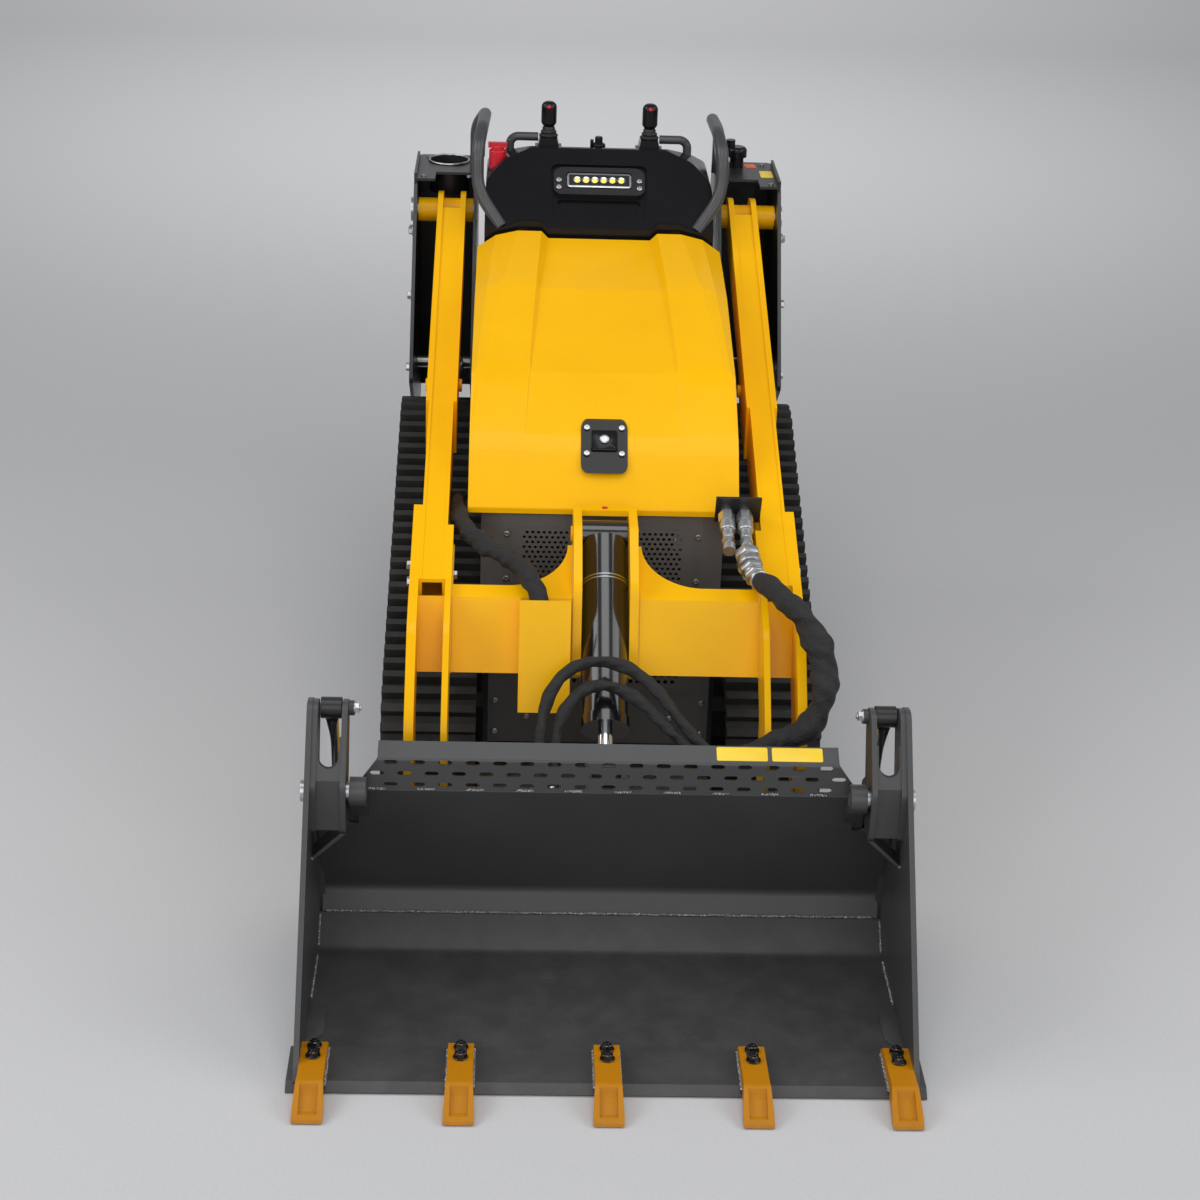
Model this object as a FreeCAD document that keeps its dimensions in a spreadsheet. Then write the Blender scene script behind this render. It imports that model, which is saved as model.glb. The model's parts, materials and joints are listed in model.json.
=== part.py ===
"""Stand-on mini compact track loader with a 4-in-1 bucket, as a parametric assembly.

Frame: millimetres, +Z up, the bucket faces -Y, origin on the floor under the middle of the machine.
Every size is a named cell of the sheet "Sizes"; the sub-parts are bound to those cells.
"""
import FreeCAD, Part
import math
import os
import Sketcher

V = FreeCAD.Vector
doc = FreeCAD.newDocument("TrackLoader")
sheet = doc.addObject("Spreadsheet::Sheet", "Sizes")


# ------------------------------------------------------------------ named sizes

class Size:
    """A number of the model: its value now, and the expression that keeps it bound to the sheet."""

    def __init__(self, text, value):
        self.text = text
        self.value = float(value)

    @staticmethod
    def of(other):
        return other if isinstance(other, Size) else Size("({:g})".format(other), other)

    def join(self, sign, other, value):
        return Size("({} {} {})".format(self.text, sign, other.text), value)

    def __add__(self, other):
        other = Size.of(other)
        return self.join("+", other, self.value + other.value)

    def __sub__(self, other):
        other = Size.of(other)
        return self.join("-", other, self.value - other.value)

    def __mul__(self, other):
        other = Size.of(other)
        return self.join("*", other, self.value * other.value)

    def __truediv__(self, other):
        other = Size.of(other)
        return self.join("/", other, self.value / other.value)

    def __radd__(self, other):
        return Size.of(other) + self

    def __rsub__(self, other):
        return Size.of(other) - self

    def __rmul__(self, other):
        return Size.of(other) * self

    def __neg__(self):
        return self * -1

    def __pow__(self, power):
        return Size("({})^{:g}".format(self.text, power), self.value ** power)

    def __float__(self):
        return self.value


class Sizes:
    """The sheet's cells, as attributes."""

    def __init__(self, cells):
        for row, (alias, number) in enumerate(cells.items(), 1):
            sheet.set("A{}".format(row), alias)
            sheet.set("B{}".format(row), "{:g}".format(number))
            sheet.setAlias("B{}".format(row), alias)
            setattr(self, alias, Size("Sizes." + alias, number))


def beside(start, finish, along, out):
    """A point at a distance along the line from start to finish, and out to the left of it."""
    run, rise = finish[0] - start[0], finish[1] - start[1]
    length = (run ** 2 + rise ** 2) ** 0.5
    return (start[0] + run * along / length - rise * out / length,
            start[1] + rise * along / length + run * out / length)


SIZES = {
    # Bucket: moving clam (floor, sides, edge, teeth) and fixed back (mouldboard)
    "edge_y": -1205, "edge_width": 1130, "edge_depth": 120, "edge_thick": 16, "tooth_pitch": 260,
    "tooth_width": 46, "tooth_tip_width": 54, "tooth_reach": 88, "tooth_back": 124, "tooth_high": 44,
    "tooth_slot": 22, "tooth_fork": 62, "tooth_ridge": 7, "bucket_plate": 8, "side_plate": 10,
    "side_outer": 553, "bucket_gap": 5, "end_plate": 5, "end_deep": 42, "clam_pivot_y": -830,
    "clam_pivot_z": 396, "clam_pin_radius": 17, "back_top_y": -805, "back_top_z": 385, "back_bend_y": -680,
    "back_bend_z": 104, "seam_y": -700, "seam_z": 58, "seam_lip": 9, "seam_gap": 0.6, "floor_rear_y": -752,
    "lever_pin_y": -737, "lever_pin_z": 519, "lever_pin_radius": 11, "lever_inner": 479, "lever_plate": 10,
    "lever_foot_z": 262, "lever_bend": 60, "lever_web": 95, "notch_deep": 28, "notch_wide": 38,
    "notch_z": 290, "notch_half": 462, "guard_half": 468, "guard_top_half": 424, "guard_rise": 64,
    "guard_lip_run": 36, "guard_lip_rise": 19, "guard_plate": 5, "guard_rows": 3, "guard_row": 23,
    "guard_pitch": 50, "guard_slot": 27, "guard_slot_high": 10, "guard_first": 11, "hitch_plate": 12,
    "hitch_half": 395, "hitch_from": 50, "hitch_to": 290, "lug_plate": 12,
    # Boom
    "arm_x": 341, "arm_width": 52, "arm_pivot_y": 875, "arm_pivot_z": 1011, "arm_fall": 0.355,
    "arm_rise": 51, "arm_wall": 6, "arm_pin_radius": 20, "arm_boss_radius": 28, "tip_pin_y": -605,
    "tip_pin_z": 165, "tip_pin_radius": 16, "knee_y": -425, "shin_y": -637, "shin_z": 412, "arm_depth": 83,
    "front_depth": 118, "leg_outer": 385, "leg_outer_plate": 18, "leg_inner": 303, "leg_inner_plate": 12,
    "leg_top_y": -175, "leg_inner_top_y": -230, "flange_front_y": 135, "flange_plate": 6.5,
    "lift_pin_y": 297, "lift_pin_z": 780, "lift_pin_radius": 14, "channel_front_y": -378,
    "cross_top_y": -405, "cross_top_z": 595, "cross_foot_y": -465, "cross_foot_z": 460, "cross_plate": 10,
    "cross_flange": 35, "cross_arc": 120, "bracket_inner": 47, "bracket_plate": 17, "tilt_pin_y": -225,
    "tilt_pin_z": 656, "tilt_pin_radius": 16,
    # Cylinders
    "tilt_rod_y": -660, "tilt_rod_z": 345, "tilt_barrel_radius": 44, "tilt_rod_radius": 16,
    "tilt_barrel_length": 440, "lift_base_y": 855, "lift_base_z": 640, "lift_barrel_radius": 30,
    "lift_rod_radius": 16, "lift_barrel_length": 500, "clam_base_y": -645, "clam_base_z": 130,
    "clam_barrel_radius": 23, "clam_rod_radius": 12, "clam_barrel_length": 232, "clam_x": 511,
    "eye_side_gap": 2, "pin_gap": 0.05, "bore_share": 0.72, "gland": 28, "eye_wall": 12,
    "tilt_eye_half": 26, "tilt_eye": 27, "tilt_seat": 110, "lift_eye_half": 24, "lift_eye": 28,
    "lift_seat": 85, "clam_eye_half": 19, "clam_eye": 20, "clam_seat": 170,
    # Chassis, towers, engine cover, console
    "tub_half": 240, "tub_plate": 10, "tub_floor_z": 130, "tub_front_y": -205, "tub_rear_y": 935,
    "panel_y": -125, "panel_z": 498, "panel_plate": 4, "panel_half": 205, "panel_wing": 250,
    "panel_fold": 14, "mesh_plate": 2, "mesh_half": 188, "mesh_high": 132, "mesh_from": 68, "mesh_to": 168,
    "mesh_pitch": 11.6, "mesh_hole": 7.4, "lower_mesh_from": 44, "tub_top_z": 680, "tub_rear_z": 900,
    "engine_half": 170, "engine_y": 150, "engine_long": 420, "engine_high": 420, "tower_outer": 430,
    "tower_inner": 282, "tower_plate": 8, "tower_foot_y": 568, "tower_foot_z": 690, "tower_base_z": 480,
    "tower_head_y": 837, "tower_head_z": 1088, "tower_rear_y": 1068, "deck_plate": 6, "deck_slot_y": 905,
    "cup_x": 353, "cup_y": 1013, "cup_radius": 44, "cup_wall": 3, "cup_rim": 6, "cup_deep": 70,
    "hood_half": 277, "hood_wall": 5, "hood_front_y": -148, "hood_front_z": 678, "hood_nose_y": -55,
    "hood_nose_z": 790, "hood_brow_y": 95, "hood_brow_z": 890, "hood_mid_y": 395, "hood_mid_z": 985,
    "hood_rear_y": 648, "hood_rear_z": 1030, "hood_skirt": 150, "hood_lip": 12, "trough_deep": 16,
    "trough_rear_half": 116, "trough_front_half": 164, "shoulder_run": 90, "shoulder_fall": 40,
    "hood_clear": 30, "hood_hinge_drop": 16, "latch_low_z": 742, "latch_high": 80, "latch_half": 48,
    "latch_thick": 7, "hinge_x": 165, "hinge_ear": 20, "hinge_radius": 6, "hinge_leaf": 26,
    "console_half": 262, "console_base_z": 940, "console_front_y": 666, "console_foot_z": 1032,
    "console_top_y": 850, "console_top_z": 1172, "console_flat_y": 866, "console_rear_y": 1040,
    "console_rear_z": 1078, "crown_half": 158, "brow_half": 216, "brow_drop": 20, "side_drop": 58,
    "trim_deep": 26, "trim_high": 15, "trim_half": 232, "pad_from": 133, "pad_to": 183, "recess_half": 112,
    "recess_deep": 6, "pocket_foot": 26, "pocket_half": 100,
    # Operator station
    "lamp_foot": 94, "lamp_high": 84, "lamp_deep": 12, "lamp_half": 105, "lever_x": 118, "lever_drop": 18,
    "knob_radius": 18, "lever_y": 890, "hoop_radius": 14.3, "hoop_foot_x": 224, "hoop_x": 280,
    "hoop_rise": 34, "rest_x": 208, "rest_rise": 16, "rest_radius": 10, "lens_half": 72, "switch_x": 236,
    "switch_y": 850, "pad_low_z": 930, "pad_high_z": 1064, "pad_deep": 41, "pad_half": 200,
    "hoop_rear_y": 966,
    # Hose guard, couplers and hoses
    "guard_box_outer": 165, "guard_box_inner": 69, "guard_sheet": 4, "guard_stand": 50, "coupler_y": -202,
    "coupler_z": 704, "coupler_radius": 16, "coupler_length": 120, "coupler_lean": 20, "coupler_plate": 6,
    "coupler_bracket_half": 32, "bundle_radius": 12, "sleeve_radius": 16, "hose_radius": 8,
    "port_radius": 10, "port_length": 20, "port_drop": 60, "port_x": 128, "port_pitch": 28,
    # Running gear
    "frame_plate": 8, "axle_radius": 18, "motor_radius": 70, "track_outer": 442, "track_width": 190,
    "lug_pitch": 36, "lug_height": 20, "lug_root": 22, "lug_crest": 15, "belt_thick": 22,
    "front_idler_y": -255, "front_idler_z": 200, "sprocket_y": 465, "sprocket_z": 500,
    "sprocket_radius": 180, "rear_idler_y": 775, "rear_idler_z": 150, "wheel_gap": 0.3, "idler_rim": 20,
    "idler_web": 8, "sprocket_teeth": 15, "sprocket_tooth": 22, "sprocket_disc": 24, "wheel_width": 60,
    "roller_radius": 48, "roller_pitch": 210,
    # Platform
    "platform_rear_y": 1293, "platform_half": 265, "platform_plate": 5, "platform_high": 30,
    "platform_z": 165, "platform_front_y": 1012,
}
z = Sizes(SIZES)
doc.recompute()


# ------------------------------------------------------------------ building blocks

PLANES = {
    "YZ": (FreeCAD.Rotation(V(0, 1, 0), V(0, 0, 1), V(1, 0, 0), "ZXY"), V(1, 0, 0)),
    "XY": (FreeCAD.Rotation(), V(0, 0, 1)),
    "XZ": (FreeCAD.Rotation(V(1, 0, 0), V(0, 0, 1), V(0, -1, 0), "ZXY"), V(0, 1, 0)),
}
ALONG_X = FreeCAD.Rotation(V(0, 1, 0), 90)
ALONG_Y = FreeCAD.Rotation(V(1, 0, 0), -90)
ALONG_Z = FreeCAD.Rotation()


def bind(obj, **sizes):
    """Binds properties of an object to expressions of the sheet."""
    for name, size in sizes.items():
        obj.setExpression(name, Size.of(size).text)
    return obj


def put(obj, x, y, height, turn=ALONG_Z):
    """Places an object, with its corner or centre bound to the sheet."""
    obj.Placement = FreeCAD.Placement(V(float(x), float(y), float(height)), turn)
    for axis, size in zip("xyz", (x, y, height)):
        obj.setExpression(".Placement.Base." + axis, Size.of(size).text)
    return obj


def sketch(plane, corners, name="Outline"):
    """A closed outline of straight runs; a corner (u, v, r) is rounded with radius r."""
    outline = doc.addObject("Sketcher::SketchObject", name)
    outline.Placement = FreeCAD.Placement(V(), PLANES[plane][0])
    count = len(corners)
    points = [V(float(c[0]), float(c[1]), 0) for c in corners]
    radii = [float(c[2]) if len(c) > 2 else 0.0 for c in corners]
    ends = []
    for i, point in enumerate(points):
        before = (points[i - 1] - point).normalize()
        after = (points[(i + 1) % count] - point).normalize()
        if not radii[i]:
            ends.append((point, point, None))
            continue
        half = before.getAngle(after) / 2
        reach = radii[i] / math.tan(half)
        centre = point + (before + after).normalize() * (radii[i] / math.sin(half))
        ends.append((point + before * reach, point + after * reach, centre))
    for i in range(count):
        outline.addGeometry(Part.LineSegment(ends[i][1], ends[(i + 1) % count][0]), False)
    rules = []
    anchors = {}
    for i in range(count):
        run, previous = i, (i - 1) % count
        start, finish, centre = ends[i]
        if centre is None:
            rules.append(Sketcher.Constraint("Coincident", previous, 2, run, 1))
            anchors[i] = (run, 1)
            continue
        first = math.atan2(start.y - centre.y, start.x - centre.x)
        last = math.atan2(finish.y - centre.y, finish.x - centre.x)
        left_turn = (start - points[i]).cross(finish - points[i]).z < 0
        circle = Part.Circle(centre, V(0, 0, 1), radii[i])
        span = (first, last) if left_turn else (last, first)
        arc = outline.addGeometry(Part.ArcOfCircle(circle, *span), False)
        near, far = (1, 2) if left_turn else (2, 1)
        rules.append(Sketcher.Constraint("Tangent", previous, 2, arc, near))
        rules.append(Sketcher.Constraint("Tangent", arc, far, run, 1))
        corner = outline.addGeometry(Part.Point(points[i]), True)
        rules.append(Sketcher.Constraint("PointOnObject", corner, 1, run))
        rules.append(Sketcher.Constraint("PointOnObject", corner, 1, previous))
        anchors[i] = (corner, 1)
        rules.append(Sketcher.Constraint("Radius", arc, radii[i]))
        rules.append(corners[i][2])
    fixed = [rule for rule in rules if isinstance(rule, Sketcher.Constraint)]
    outline.addConstraint(fixed)
    index = -1
    for rule in rules:
        if isinstance(rule, Sketcher.Constraint):
            index += 1
        elif isinstance(rule, Size):
            outline.setExpression("Constraints[{}]".format(index), rule.text)
    for i, corner in enumerate(corners):
        for kind, size in zip(("DistanceX", "DistanceY"), corner[:2]):
            size = Size.of(size)
            rule = outline.addConstraint(Sketcher.Constraint(kind, -1, 1, *anchors[i], size.value))
            outline.setExpression("Constraints[{}]".format(rule), size.text)
    return outline


def extrude(outline, start, length, along=V(1, 0, 0)):
    """Extrudes an outline from a start offset along its normal by a length."""
    solid = doc.addObject("Part::Extrusion", "Extrusion")
    solid.Base = outline
    solid.DirMode = "Custom"
    solid.Dir = along
    solid.Solid = True
    start, length = Size.of(start), Size.of(length)
    bind(solid, LengthFwd=start + length, LengthRev=-start)
    return solid


def plate(corners, start, thick, plane="YZ"):
    """A flat plate: an outline in the plane, from a start offset, with a thickness."""
    return extrude(sketch(plane, corners), start, thick, PLANES[plane][1])


def box(x0, x1, y0, y1, z0, z1):
    """A block between two corners."""
    x0, x1, y0, y1, z0, z1 = [Size.of(size) for size in (x0, x1, y0, y1, z0, z1)]
    block = doc.addObject("Part::Box", "Block")
    bind(block, Length=x1 - x0, Width=y1 - y0, Height=z1 - z0)
    return put(block, x0, y0, z0)


def rod(x, y, height, radius, length, turn=ALONG_X):
    """A round bar from a point, along an axis."""
    bar = doc.addObject("Part::Cylinder", "Round")
    bind(bar, Radius=radius, Height=length)
    return put(bar, x, y, height, turn)


def cross_pin(x0, x1, y, height, radius):
    """A round bar along X between two stations."""
    x0, x1 = Size.of(x0), Size.of(x1)
    return rod(x0, y, height, radius, x1 - x0)


def leaning(corners, foot, top, out, thick):
    """A plate on a face that leans from foot to top: corners are (x, distance up the face)."""
    lean = math.atan2(float(top[1] - foot[1]), float(top[0] - foot[0]))
    outline = sketch("XY", corners)
    put(outline, 0, *foot, FreeCAD.Rotation(V(1, 0, 0), math.degrees(lean)))
    return extrude(outline, out, thick, V(0, -math.sin(lean), math.cos(lean)))


def turned(corners, x, y, height, turn=ALONG_Z):
    """A solid of revolution: corners are (radius, distance along the axis)."""
    form = doc.addObject("Part::Revolution", "Turned")
    form.Source = sketch("XZ", corners)
    form.Axis = V(0, 0, 1)
    form.Base = V(0, 0, 0)
    form.Angle = 360
    form.Solid = True
    return put(form, x, y, height, turn)


def lofted(sections):
    """A ruled solid through upright sections: each is a station along Y and its corners (x, height)."""
    loft = doc.addObject("Part::Loft", "Loft")
    outlines = []
    for y, corners in sections:
        outline = sketch("XZ", corners)
        outline.Placement.Base.y = float(y)
        outline.setExpression(".Placement.Base.y", Size.of(y).text)
        outlines.append(outline)
    loft.Sections = outlines
    loft.Solid = True
    loft.Ruled = True
    return loft


def common(*solids):
    """What the solids share."""
    shared = doc.addObject("Part::MultiCommon", "Shared")
    shared.Shapes = list(solids)
    return shared


def mirrored(corners):
    """An outline that is even about x = 0, from its right half."""
    return list(corners) + [(-c[0],) + tuple(c[1:]) for c in reversed(corners)]


def fuse(*solids):
    joined = doc.addObject("Part::MultiFuse", "Joined")
    joined.Shapes = list(solids)
    return joined


def cut(base, *tools):
    tool = tools[0] if len(tools) == 1 else fuse(*tools)
    left = doc.addObject("Part::Cut", "Cut")
    left.Base = base
    left.Tool = tool
    return left


def group(*solids):
    """Several solids of one node that don't touch."""
    held = doc.addObject("Part::Compound", "Group")
    held.Links = list(solids)
    return held


def mirror_x(solid):
    """The same piece on the other side of the machine."""
    other = doc.addObject("Part::Mirroring", "Mirrored")
    other.Source = solid
    other.Normal = V(1, 0, 0)
    return other


def both_sides(make):
    """Makes a pair: the piece for the right side, and its mirror for the left."""
    right = make()
    return group(right, mirror_x(right))


nodes = {}


def node(name, solid):
    """Names a finished sub-part: its label is its node's name."""
    solid.Label = name
    nodes[name] = solid
    return solid


def pair(name, make):
    """Two sub-parts, NAME_right at +X and its mirror NAME_left."""
    right = node(name + "_right", make())
    node(name + "_left", mirror_x(right))


def route(points, share=0.45):
    """A line of straight runs joined by tangent arcs, each as large as its two runs allow."""
    places = [V(*[float(part) for part in point]) for point in points]
    edges, radii = [], []
    begun = places[0]
    for before, corner, after in zip(places, places[1:], places[2:]):
        back, ahead = before - corner, after - corner
        trim = share * min(back.Length, ahead.Length)
        turn = math.pi - back.getAngle(ahead)
        radius = trim / math.tan(turn / 2)
        back.normalize()
        ahead.normalize()
        start, finish = corner + back * trim, corner + ahead * trim
        inward = (back + ahead).normalize()
        middle = corner + inward * (radius / math.cos(turn / 2) - radius)
        edges.append(Part.LineSegment(begun, start).toShape())
        edges.append(Part.Arc(start, middle, finish).toShape())
        radii.append(radius)
        begun = finish
    edges.append(Part.LineSegment(begun, places[-1]).toShape())
    return Part.Wire(edges), radii


def tube(name, points, radius, share=0.45):
    """A round tube along a route; its volume is held against its section times its length."""
    line, radii = route(points, share)
    start = line.Edges[0]
    ring = Part.Wire(Part.Circle(start.valueAt(start.FirstParameter), start.tangentAt(start.FirstParameter),
                                 float(radius)).toShape())
    solid = line.makePipeShell([ring], True, False)
    expected = math.pi * float(radius) ** 2 * line.Length
    if abs(solid.Volume / expected - 1) > 0.01:
        raise RuntimeError("{} has volume {:.0f}, not {:.0f}".format(name, solid.Volume, expected))
    print("{}: {:.0f} long, tightest bend {:.0f}".format(name, line.Length, min(radii)))
    return made(solid, "Tube")


def made(shape, name="Form"):
    """A feature whose shape is worked out here from the sheet's values."""
    feature = doc.addObject("Part::Feature", name)
    feature.Shape = shape
    return feature


# ------------------------------------------------------------------ bucket: the moving clam

def clam_floor():
    """Floor plate with its rear lip folded up to the seam, where the back stands on it."""
    t = z.bucket_plate
    lip_z = z.seam_z - z.seam_gap
    corners = [(z.edge_y + z.edge_depth, 0), (z.floor_rear_y, 0, 30), (z.seam_y + z.seam_lip, lip_z),
               (z.seam_y - 3, lip_z), (z.floor_rear_y - 5, t, 22), (z.edge_y + z.edge_depth, t)]
    return plate(corners, -z.side_outer + z.side_plate, (z.side_outer - z.side_plate) * 2)


def clam_side():
    """Side plate: a sloping front edge, a rounded heel and the ear around the pivot."""
    corners = [(z.edge_y + 12, z.edge_thick, 6), (z.clam_pivot_y - 36, z.clam_pivot_z + 30, 30),
               (z.lever_pin_y - 34, z.lever_pin_z + 28, 30), (z.lever_pin_y + 32, z.lever_pin_z + 12, 28),
               (z.clam_pivot_y + 52, z.clam_pivot_z - 34, 40), (z.back_bend_y - 8, z.back_bend_z, 40),
               (z.seam_y + 6, z.seam_z - 12, 10), (z.floor_rear_y, 0, 30), (z.edge_y + 12, 0)]
    side = plate(corners, z.side_outer - z.side_plate, z.side_plate)
    bore = cross_pin(z.side_outer - z.side_plate - 1, z.side_outer + 1, z.clam_pivot_y, z.clam_pivot_z,
                     z.clam_pin_radius + z.pin_gap)
    return cut(side, bore)


def lever_box():
    """Two lever plates at a rear corner that carry the cylinder's pin above the pivot."""
    inner, outer = z.lever_inner, z.side_outer - z.side_plate
    t = z.lever_plate
    waist = z.lever_foot_z + z.lever_bend
    front_low, front_high = ((z.clam_pivot_y - 34, z.clam_pivot_z + 24),
                             (z.lever_pin_y - 32, z.lever_pin_z + 26))
    upper = [(z.clam_pivot_y - 30, waist, 10), (*front_low, 30), (*front_high, 28),
             (z.lever_pin_y + 30, z.lever_pin_z + 12, 28),
             (z.clam_pivot_y + 48, z.clam_pivot_z - 30, 30), (z.clam_pivot_y + 34, waist, 10)]
    sheets = []
    for start in (inner, outer - t):
        bore = cross_pin(start - 1, start + t + 1, z.clam_pivot_y, z.clam_pivot_z,
                         z.clam_pin_radius + z.pin_gap)
        sheets.append(cut(plate(upper, start, t), bore))
    foot = [(inner, waist), (inner + t, waist), (outer, z.lever_foot_z + 8), (outer, z.lever_foot_z)]
    bend = plate(foot, z.clam_pivot_y - 26, 52, "XZ")
    web_high = beside(front_low, front_high, z.lever_web, -3)
    web = plate([(z.clam_pivot_y - 28, waist + 8), beside(front_low, front_high, 14, -3), web_high,
                 beside(front_low, front_high, z.lever_web, -10), beside(front_low, front_high, 16, -10),
                 (z.clam_pivot_y - 21, waist + 8)], inner + t, outer - inner - t * 2)
    notch = fuse(cross_way(z.clam_x, web_high[1] - z.notch_deep, z.notch_wide / 2),
                 box(z.clam_x - z.notch_wide / 2, z.clam_x + z.notch_wide / 2, z.clam_pivot_y - 60,
                     z.lever_pin_y,
                     web_high[1] - z.notch_deep, web_high[1] + 20))
    stub = [cross_pin(inner, inner + t, z.lever_pin_y, z.lever_pin_z, z.lever_pin_radius),
            cross_pin(inner - 9, inner, z.lever_pin_y, z.lever_pin_z, z.lever_pin_radius + 3),
            cross_pin(outer - t, outer, z.lever_pin_y, z.lever_pin_z, z.lever_pin_radius)]
    return fuse(*sheets, bend, cut(web, notch), *stub)


def cross_way(x, height, radius):
    """A round tool along Y at the lever box."""
    return rod(x, z.clam_pivot_y - 60, height, radius, z.lever_pin_y - z.clam_pivot_y + 60, ALONG_Y)


def clam_pin():
    """Pivot pin with its head outside the side plate; it turns in the collar of the back."""
    body = cross_pin(z.lever_inner - 34, z.side_outer, z.clam_pivot_y, z.clam_pivot_z, z.clam_pin_radius)
    head = cross_pin(z.side_outer, z.side_outer + 9, z.clam_pivot_y, z.clam_pivot_z, z.clam_pin_radius + 3)
    return fuse(body, head)


def tooth(x):
    """One tooth: a forked shank bolted over the edge, and a scooped point that widens to its tip."""
    tip, heel = z.edge_y - z.tooth_reach, z.edge_y + z.tooth_back
    side = plate([(tip, 3), (tip + 3, 8), (z.edge_y - 22, z.tooth_high, 20), (heel - 18, z.tooth_high - 8),
                  (heel, z.edge_thick + 4), (heel, z.edge_thick), (z.edge_y, z.edge_thick), (z.edge_y, 4)],
                 x - z.tooth_tip_width / 2, z.tooth_tip_width)
    wide, narrow = z.tooth_tip_width / 2, z.tooth_width / 2
    plan = plate([(x - wide, tip), (x + wide, tip), (x + wide, tip + 20), (x + narrow, z.edge_y - 10),
                  (x + narrow, heel), (x - narrow, heel), (x - narrow, z.edge_y - 10), (x - wide, tip + 20)],
                 0, z.tooth_high + 10, "XY")
    slot = z.tooth_slot / 2
    fork = plate([(x - slot, heel - z.tooth_fork, 8), (x + slot, heel - z.tooth_fork, 8),
                  (x + slot, heel + 5),
                  (x - slot, heel + 5)], z.edge_thick - 1, z.tooth_high, "XY")
    ridge = z.tooth_ridge
    scoop = plate([(tip - 5, 14), (tip + 22, 12), (z.edge_y - 34, z.tooth_high - 16, 16),
                   (z.edge_y - 22, z.tooth_high + 5), (tip - 5, z.tooth_high + 5)],
                  x - narrow + ridge, (narrow - ridge) * 2)
    return cut(common(side, plan), fork, scoop)


def build_clam():
    edge = plate([(z.edge_y, 4), (z.edge_y + 18, z.edge_thick), (z.edge_y + z.edge_depth, z.edge_thick),
                  (z.edge_y + z.edge_depth, 0), (z.edge_y + 3, 0)], -z.edge_width / 2, z.edge_width)
    node("cutting_edge", edge)
    side = clam_side()
    above_edge = box(-z.edge_width, z.edge_width, z.edge_y - 1, z.edge_y + z.edge_depth, -1, z.edge_thick)
    shell = cut(fuse(clam_floor(), side, mirror_x(side)), above_edge)
    node("clam_shell", shell)
    node("clam_levers", both_sides(lever_box))
    node("clam_pins", both_sides(clam_pin))
    node("bucket_teeth", group(*[tooth(z.tooth_pitch * i) for i in range(-2, 3)]))


# ------------------------------------------------------------------ bucket: the fixed back

def back_sheet(half):
    """The back's folded section, as wide as half each side."""
    t = z.bucket_plate
    top, bend, seam = (z.back_top_y, z.back_top_z), (z.back_bend_y, z.back_bend_z), (z.seam_y, z.seam_z)
    corners = [top, (*bend, 20), seam, (z.seam_y + z.seam_lip, z.seam_z),
               (z.back_bend_y + t * 1.12, z.back_bend_z - 1, 28), beside(top, bend, 0, t)]
    return plate(corners, -half, half * 2)


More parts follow.
